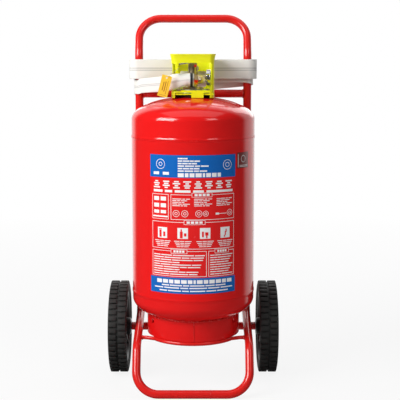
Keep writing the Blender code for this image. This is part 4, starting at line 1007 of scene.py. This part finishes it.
nut_r, nut_t, plug_r = nut_high.x, nut_high.z - nut_low.z, 0.0235
ring_nut = [(nut_r - 0.0008, nut_t), (nut_r, nut_t - 0.0008), (nut_r, 0.0008), (nut_r - 0.0008, 0),
            (plug_r, 0), (plug_r, nut_t), (nut_r - 0.0008, nut_t)]
ring_nut = turned("ring_nut_slotted", ring_nut, 96)
notch_offset = 0.2
for i in range(8):
    angle = math.pi * i / 4 + notch_offset
    notch = slab((0.007, 0.0075, 0.03))
    settle(notch, (nut_r * math.cos(angle), nut_r * math.sin(angle), nut_t / 2), (0, 0, angle))
    carve(ring_nut, notch)
settle(ring_nut, (0, axis_y, nut_low.z))
hand_over(ring_nut, zinc, "zinc_steel", "unit", "ring_nut")

# Gauge: a plated case with a rolled bezel, a printed dial with coloured sectors, and a clear
# domed lens; the needle turns on the dial's middle.
case_low, case_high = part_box("gauge_case")
gauge_r, deep = (case_high.z - case_low.z) / 2, case_high.x - case_low.x
gauge_y, gauge_z = (case_low.y + case_high.y) / 2, (case_low.z + case_high.z) / 2
across = (0, math.pi / 2, 0)
case = [(0, deep - 0.006), (gauge_r - 0.0020, deep - 0.006), (gauge_r - 0.0020, deep - 0.0003),
        (gauge_r - 0.0017, deep), (gauge_r - 0.0008, deep), (gauge_r - 0.0002, deep - 0.0006),
        (gauge_r, deep - 0.0014), (gauge_r - 0.0002, deep - 0.0026),
        (gauge_r - 0.0010, deep - 0.0030), (gauge_r - 0.0010, 0.0030),
        (gauge_r - 0.0016, 0.0010), (gauge_r - 0.0032, 0.0), (0, 0)]
case = settle(turned("gauge_case_plated", case, 80), (case_low.x, gauge_y, gauge_z), across)
hand_over(case, chrome, "chrome", "unit", "gauge_case")
dial_low, dial_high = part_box("gauge_dial")
dial_r, dial_t = (dial_high.z - dial_low.z) / 2, dial_high.x - dial_low.x
dial = [(0, dial_t), (dial_r - 0.0002, dial_t), (dial_r, dial_t - 0.0002), (dial_r, 0), (0, 0)]
dial = settle(turned("gauge_dial_printed", dial, 80), (dial_low.x, gauge_y, gauge_z), across)
dial_paint = finish("dial_enamel", (0.84, 0.84, 0.82), 0.35, blotch=0.02, blotch_size=0.01,
                    grain=0.001, depth=0.00001)
hand_over(dial, dial_paint, "white_dial", "unit", "gauge_dial")
dial_inks = (("dial_red", (0.62, 0.015, 0.015), -58, -22),
             ("dial_green", (0.02, 0.36, 0.06), -20, 20),
             ("dial_yellow", (0.86, 0.58, 0.02), 22, 58))
for name, colour, first, last in dial_inks:
    bpy.ops.object.select_all(action="DESELECT")
    bpy.ops.mesh.primitive_grid_add(x_subdivisions=16, y_subdivisions=1, size=1)
    sector = bpy.context.object
    sector.name = name + "_sector"
    for vertex in sector.data.vertices:
        angle = math.radians(first + (last - first) * (vertex.co.x + 0.5))
        reach = dial_r * (0.66 if vertex.co.y < 0 else 0.86)
        vertex.co = (dial_high.x + 0.00005, gauge_y + reach * math.sin(angle),
                     gauge_z - 0.004 + reach * math.cos(angle))
    ink = finish(name + "_ink", colour, 0.4, blotch=0.03, blotch_size=0.005, grain=0.001,
                 depth=0.00001)
    hand_over(settle(sector), ink, "white_dial", "unit")
needle_black = finish("needle_black", (0.015, 0.015, 0.015), 0.4, blotch=0.1, blotch_size=0.003)
keep("gauge_needle", needle_black)
glass = finish("lens_clear", (0.95, 0.97, 0.97), 0.05, blotch=0.01, blotch_size=0.02, grain=0.003,
               depth=0.000005)
glass.node_tree.nodes["Principled BSDF"].inputs["Transmission Weight"].default_value = 1.0
glass.node_tree.nodes["Principled BSDF"].inputs["IOR"].default_value = 1.2
keep("gauge_lens", glass)

# Valve guard: a thick moulded shell of fluorescent plastic round the valve, flared at its rim,
# with windows for the lever, the gauge and the hose, clamped on the neck under the ring nut.
guard_low, guard_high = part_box("valve_guard")
guard_t, guard_half, flare, corner = 0.003, 0.0545, 0.004, 0.014
guard_top = guard_high.z - guard_low.z
floor_low = nut_low.z - 0.0033
bpy.ops.object.select_all(action="DESELECT")
bpy.ops.mesh.primitive_plane_add(size=2 * guard_half)
guard = bpy.context.object
guard.name = "valve_guard_moulded"
bpy.ops.object.mode_set(mode="EDIT")
bpy.ops.mesh.select_all(action="SELECT")
bpy.ops.mesh.bevel(offset=corner, offset_type="OFFSET", segments=10, affect="VERTICES")
bpy.ops.mesh.delete(type="ONLY_FACE")
bpy.ops.mesh.select_all(action="SELECT")
inner_half = guard_half - guard_t
levels = [(0.0006, guard_half), (0.020, guard_half), (guard_top - 0.022, guard_half),
          (guard_top - 0.014, guard_half + 0.0006), (guard_top - 0.008, guard_half + 0.0018),
          (guard_top - 0.003, guard_half + 0.0033), (guard_top - 0.0008, guard_half + flare),
          (guard_top, guard_half + flare - 0.0008), (guard_top, inner_half + flare + 0.0006),
          (guard_top - 0.0012, inner_half + flare), (guard_top - 0.008, inner_half + 0.0018),
          (guard_top - 0.014, inner_half + 0.0006), (guard_top - 0.022, inner_half),
          (0.0, inner_half), (0.0, guard_half - 0.0006), (0.0006, guard_half)]
height, half = levels[0]
bpy.ops.transform.translate(value=(0, 0, height))
for high, wide in levels[1:]:
    bpy.ops.mesh.extrude_edges_move(TRANSFORM_OT_translate={"value": (0, 0, high - height)})
    bpy.ops.transform.resize(value=(wide / half, wide / half, 1), center_override=(0, 0, high))
    height, half = high, wide
bpy.ops.mesh.select_all(action="SELECT")
bpy.ops.mesh.remove_doubles(threshold=4e-5)
bpy.ops.mesh.normals_make_consistent(inside=False)
bpy.ops.object.mode_set(mode="OBJECT")
settle(guard, (0, axis_y, guard_low.z))


def room(low, high, radius=0.0):
    """Closed box between two corners, with its edges rounded, to cut or join with."""
    low, high = Vector(low), Vector(high)
    made = slab(high - low, (low + high) / 2)
    if radius:
        soften(made, radius, 5)
    return made


inner, neck_hole_r = guard_half - guard_t / 2, 0.0255
carve(guard, room((-inner, axis_y - inner, floor_low),
                  (inner, axis_y + inner, floor_low + guard_t)), "UNION")
bpy.ops.mesh.primitive_cylinder_add(vertices=64, radius=neck_hole_r, depth=0.02,
                                    location=(0, axis_y, floor_low))
carve(guard, bpy.context.object)
front_y = axis_y - guard_half
window_low, window_high = outlet_z - 0.0265, outlet_z + 0.0430
ahead_y = front_y - 0.02
cuts = [((-0.0370, ahead_y, window_low), (0.0480, front_y + 0.02, window_high), 0.004),
        ((-0.09, ahead_y, window_low - 0.003), (-0.0445, axis_y + 0.030, window_high - 0.002),
         0.004),
        ((-0.05, ahead_y, window_low - 0.0025), (-0.03, axis_y - 0.01, outlet_z + 0.0165), 0.003),
        ((guard_half - 0.02, axis_y - 0.026, window_low + 0.004),
         (guard_half + 0.02, axis_y + 0.034, window_high - 0.004), 0.004),
        ((-0.034, axis_y + guard_half - 0.02, window_low + 0.006),
         (0.034, axis_y + guard_half + 0.02, window_high - 0.022), 0.004),
        ((-0.0460, front_y + guard_t, outlet_z + 0.0150),
         (-0.0385, front_y + 0.010, window_high - 0.002), 0.0)]
for left, right in ((-0.046, -0.004), (0.027, 0.043)):
    for deeper, top in ((0.004, floor_low - 0.0005), (0.0005, floor_low + 0.0060)):
        cuts.append(((left, ahead_y, guard_low.z - 0.01),
                     (right, front_y + guard_t + deeper, top), 0.0))
for low, high, radius in cuts:
    carve(guard, room(low, high, radius))
fluorescent = finish("guard_fluorescent", (0.84, 0.87, 0.003), 0.36, blotch=0.04, blotch_size=0.03,
                     grain=0.0012, depth=0.00003, coat=0.15)
shader = fluorescent.node_tree.nodes["Principled BSDF"]
shader.inputs["Subsurface Weight"].default_value = 0.15
shader.inputs["Subsurface Radius"].default_value = (0.004, 0.005, 0.001)
hand_over(guard, fluorescent, "yellow_guard", "unit", "valve_guard")

# Neck gasket: a flat black rubber ring that the guard's floor is pressed on to by the ring nut.
# It shows through the slots at the guard's foot.
gasket_r, gasket_in = 0.0450, 0.0374
dome_here = dome_base + top_dome * math.sqrt(1 - (gasket_in / tank_r) ** 2) + seam_gap
gasket_top = floor_low - 0.0002
gasket = [(gasket_r - 0.0006, gasket_top), (gasket_r, gasket_top - 0.0006),
          (gasket_r, dome_here + 0.0006), (gasket_r - 0.0006, dome_here), (gasket_in, dome_here),
          (gasket_in, gasket_top), (gasket_r - 0.0006, gasket_top)]
hand_over(settle(turned("neck_gasket", gasket, 64), (0, axis_y, 0)), rubber, "black_rubber", "unit")

# Inspection tag: a slip of orange card with rounded corners, printed with plain bars and
# hung by a thin wire twisted round the guard's left post.
tag_low, tag_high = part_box("hang_tag")
tag_middle = (tag_low + tag_high) / 2
tilt = math.radians(14.5)
straight_x, straight_z, corner_cut = 0.0105, 0.0245, 0.003
tag = room((-0.0135, -0.0005, -0.0275), (0.0135, 0.0005, 0.0275))
bpy.ops.object.mode_set(mode="EDIT")
bpy.ops.mesh.select_all(action="SELECT")
bpy.ops.mesh.subdivide(number_cuts=6)
bpy.ops.object.mode_set(mode="OBJECT")
for vertex in tag.data.vertices:
    past_straight = (max(0.0, abs(vertex.co.x) - straight_x) / corner_cut
                     + max(0.0, abs(vertex.co.z) - straight_z) / corner_cut)
    if past_straight > 1:
        vertex.co.x *= 0.955
        vertex.co.z *= 0.978
bpy.ops.mesh.primitive_cylinder_add(vertices=32, radius=0.0022, depth=0.01, location=(0, 0, 0.0215),
                                    rotation=(math.pi / 2, 0, 0))
carve(tag, bpy.context.object)
tag.name = "hang_tag_card"
settle(tag, tag_middle, (0, tilt, 0))
tag_orange = finish("tag_orange_card", (0.94, 0.60, 0.035), 0.42, blotch=0.08, blotch_size=0.012,
                    grain=0.0007, depth=0.00003)
hand_over(tag, tag_orange, "orange_tag", "tag", "hang_tag")
bars = []
for x, half_wide, foot, top in ((-0.004, 0.0011, -0.012, 0.010), (0.001, 0.0011, -0.014, 0.012),
                                (0.006, 0.0006, -0.020, 0.014), (0.0, 0.0095, -0.0238, -0.0228)):
    bars.append(room((x - half_wide, -0.00062, foot), (x + half_wide, -0.00045, top)))
tag_print = settle(joined(bars, bars[-1]), tag_middle, (0, tilt, 0))
tag_print.name = "hang_tag_print"
tag_ink = finish("tag_brown_ink", (0.45, 0.16, 0.01), 0.5, blotch=0.2, blotch_size=0.004)
hand_over(tag_print, tag_ink, "orange_tag", "tag")
keep("tag_wire", zinc)

# The box of what is shown, leaving out the floor.
low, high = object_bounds()
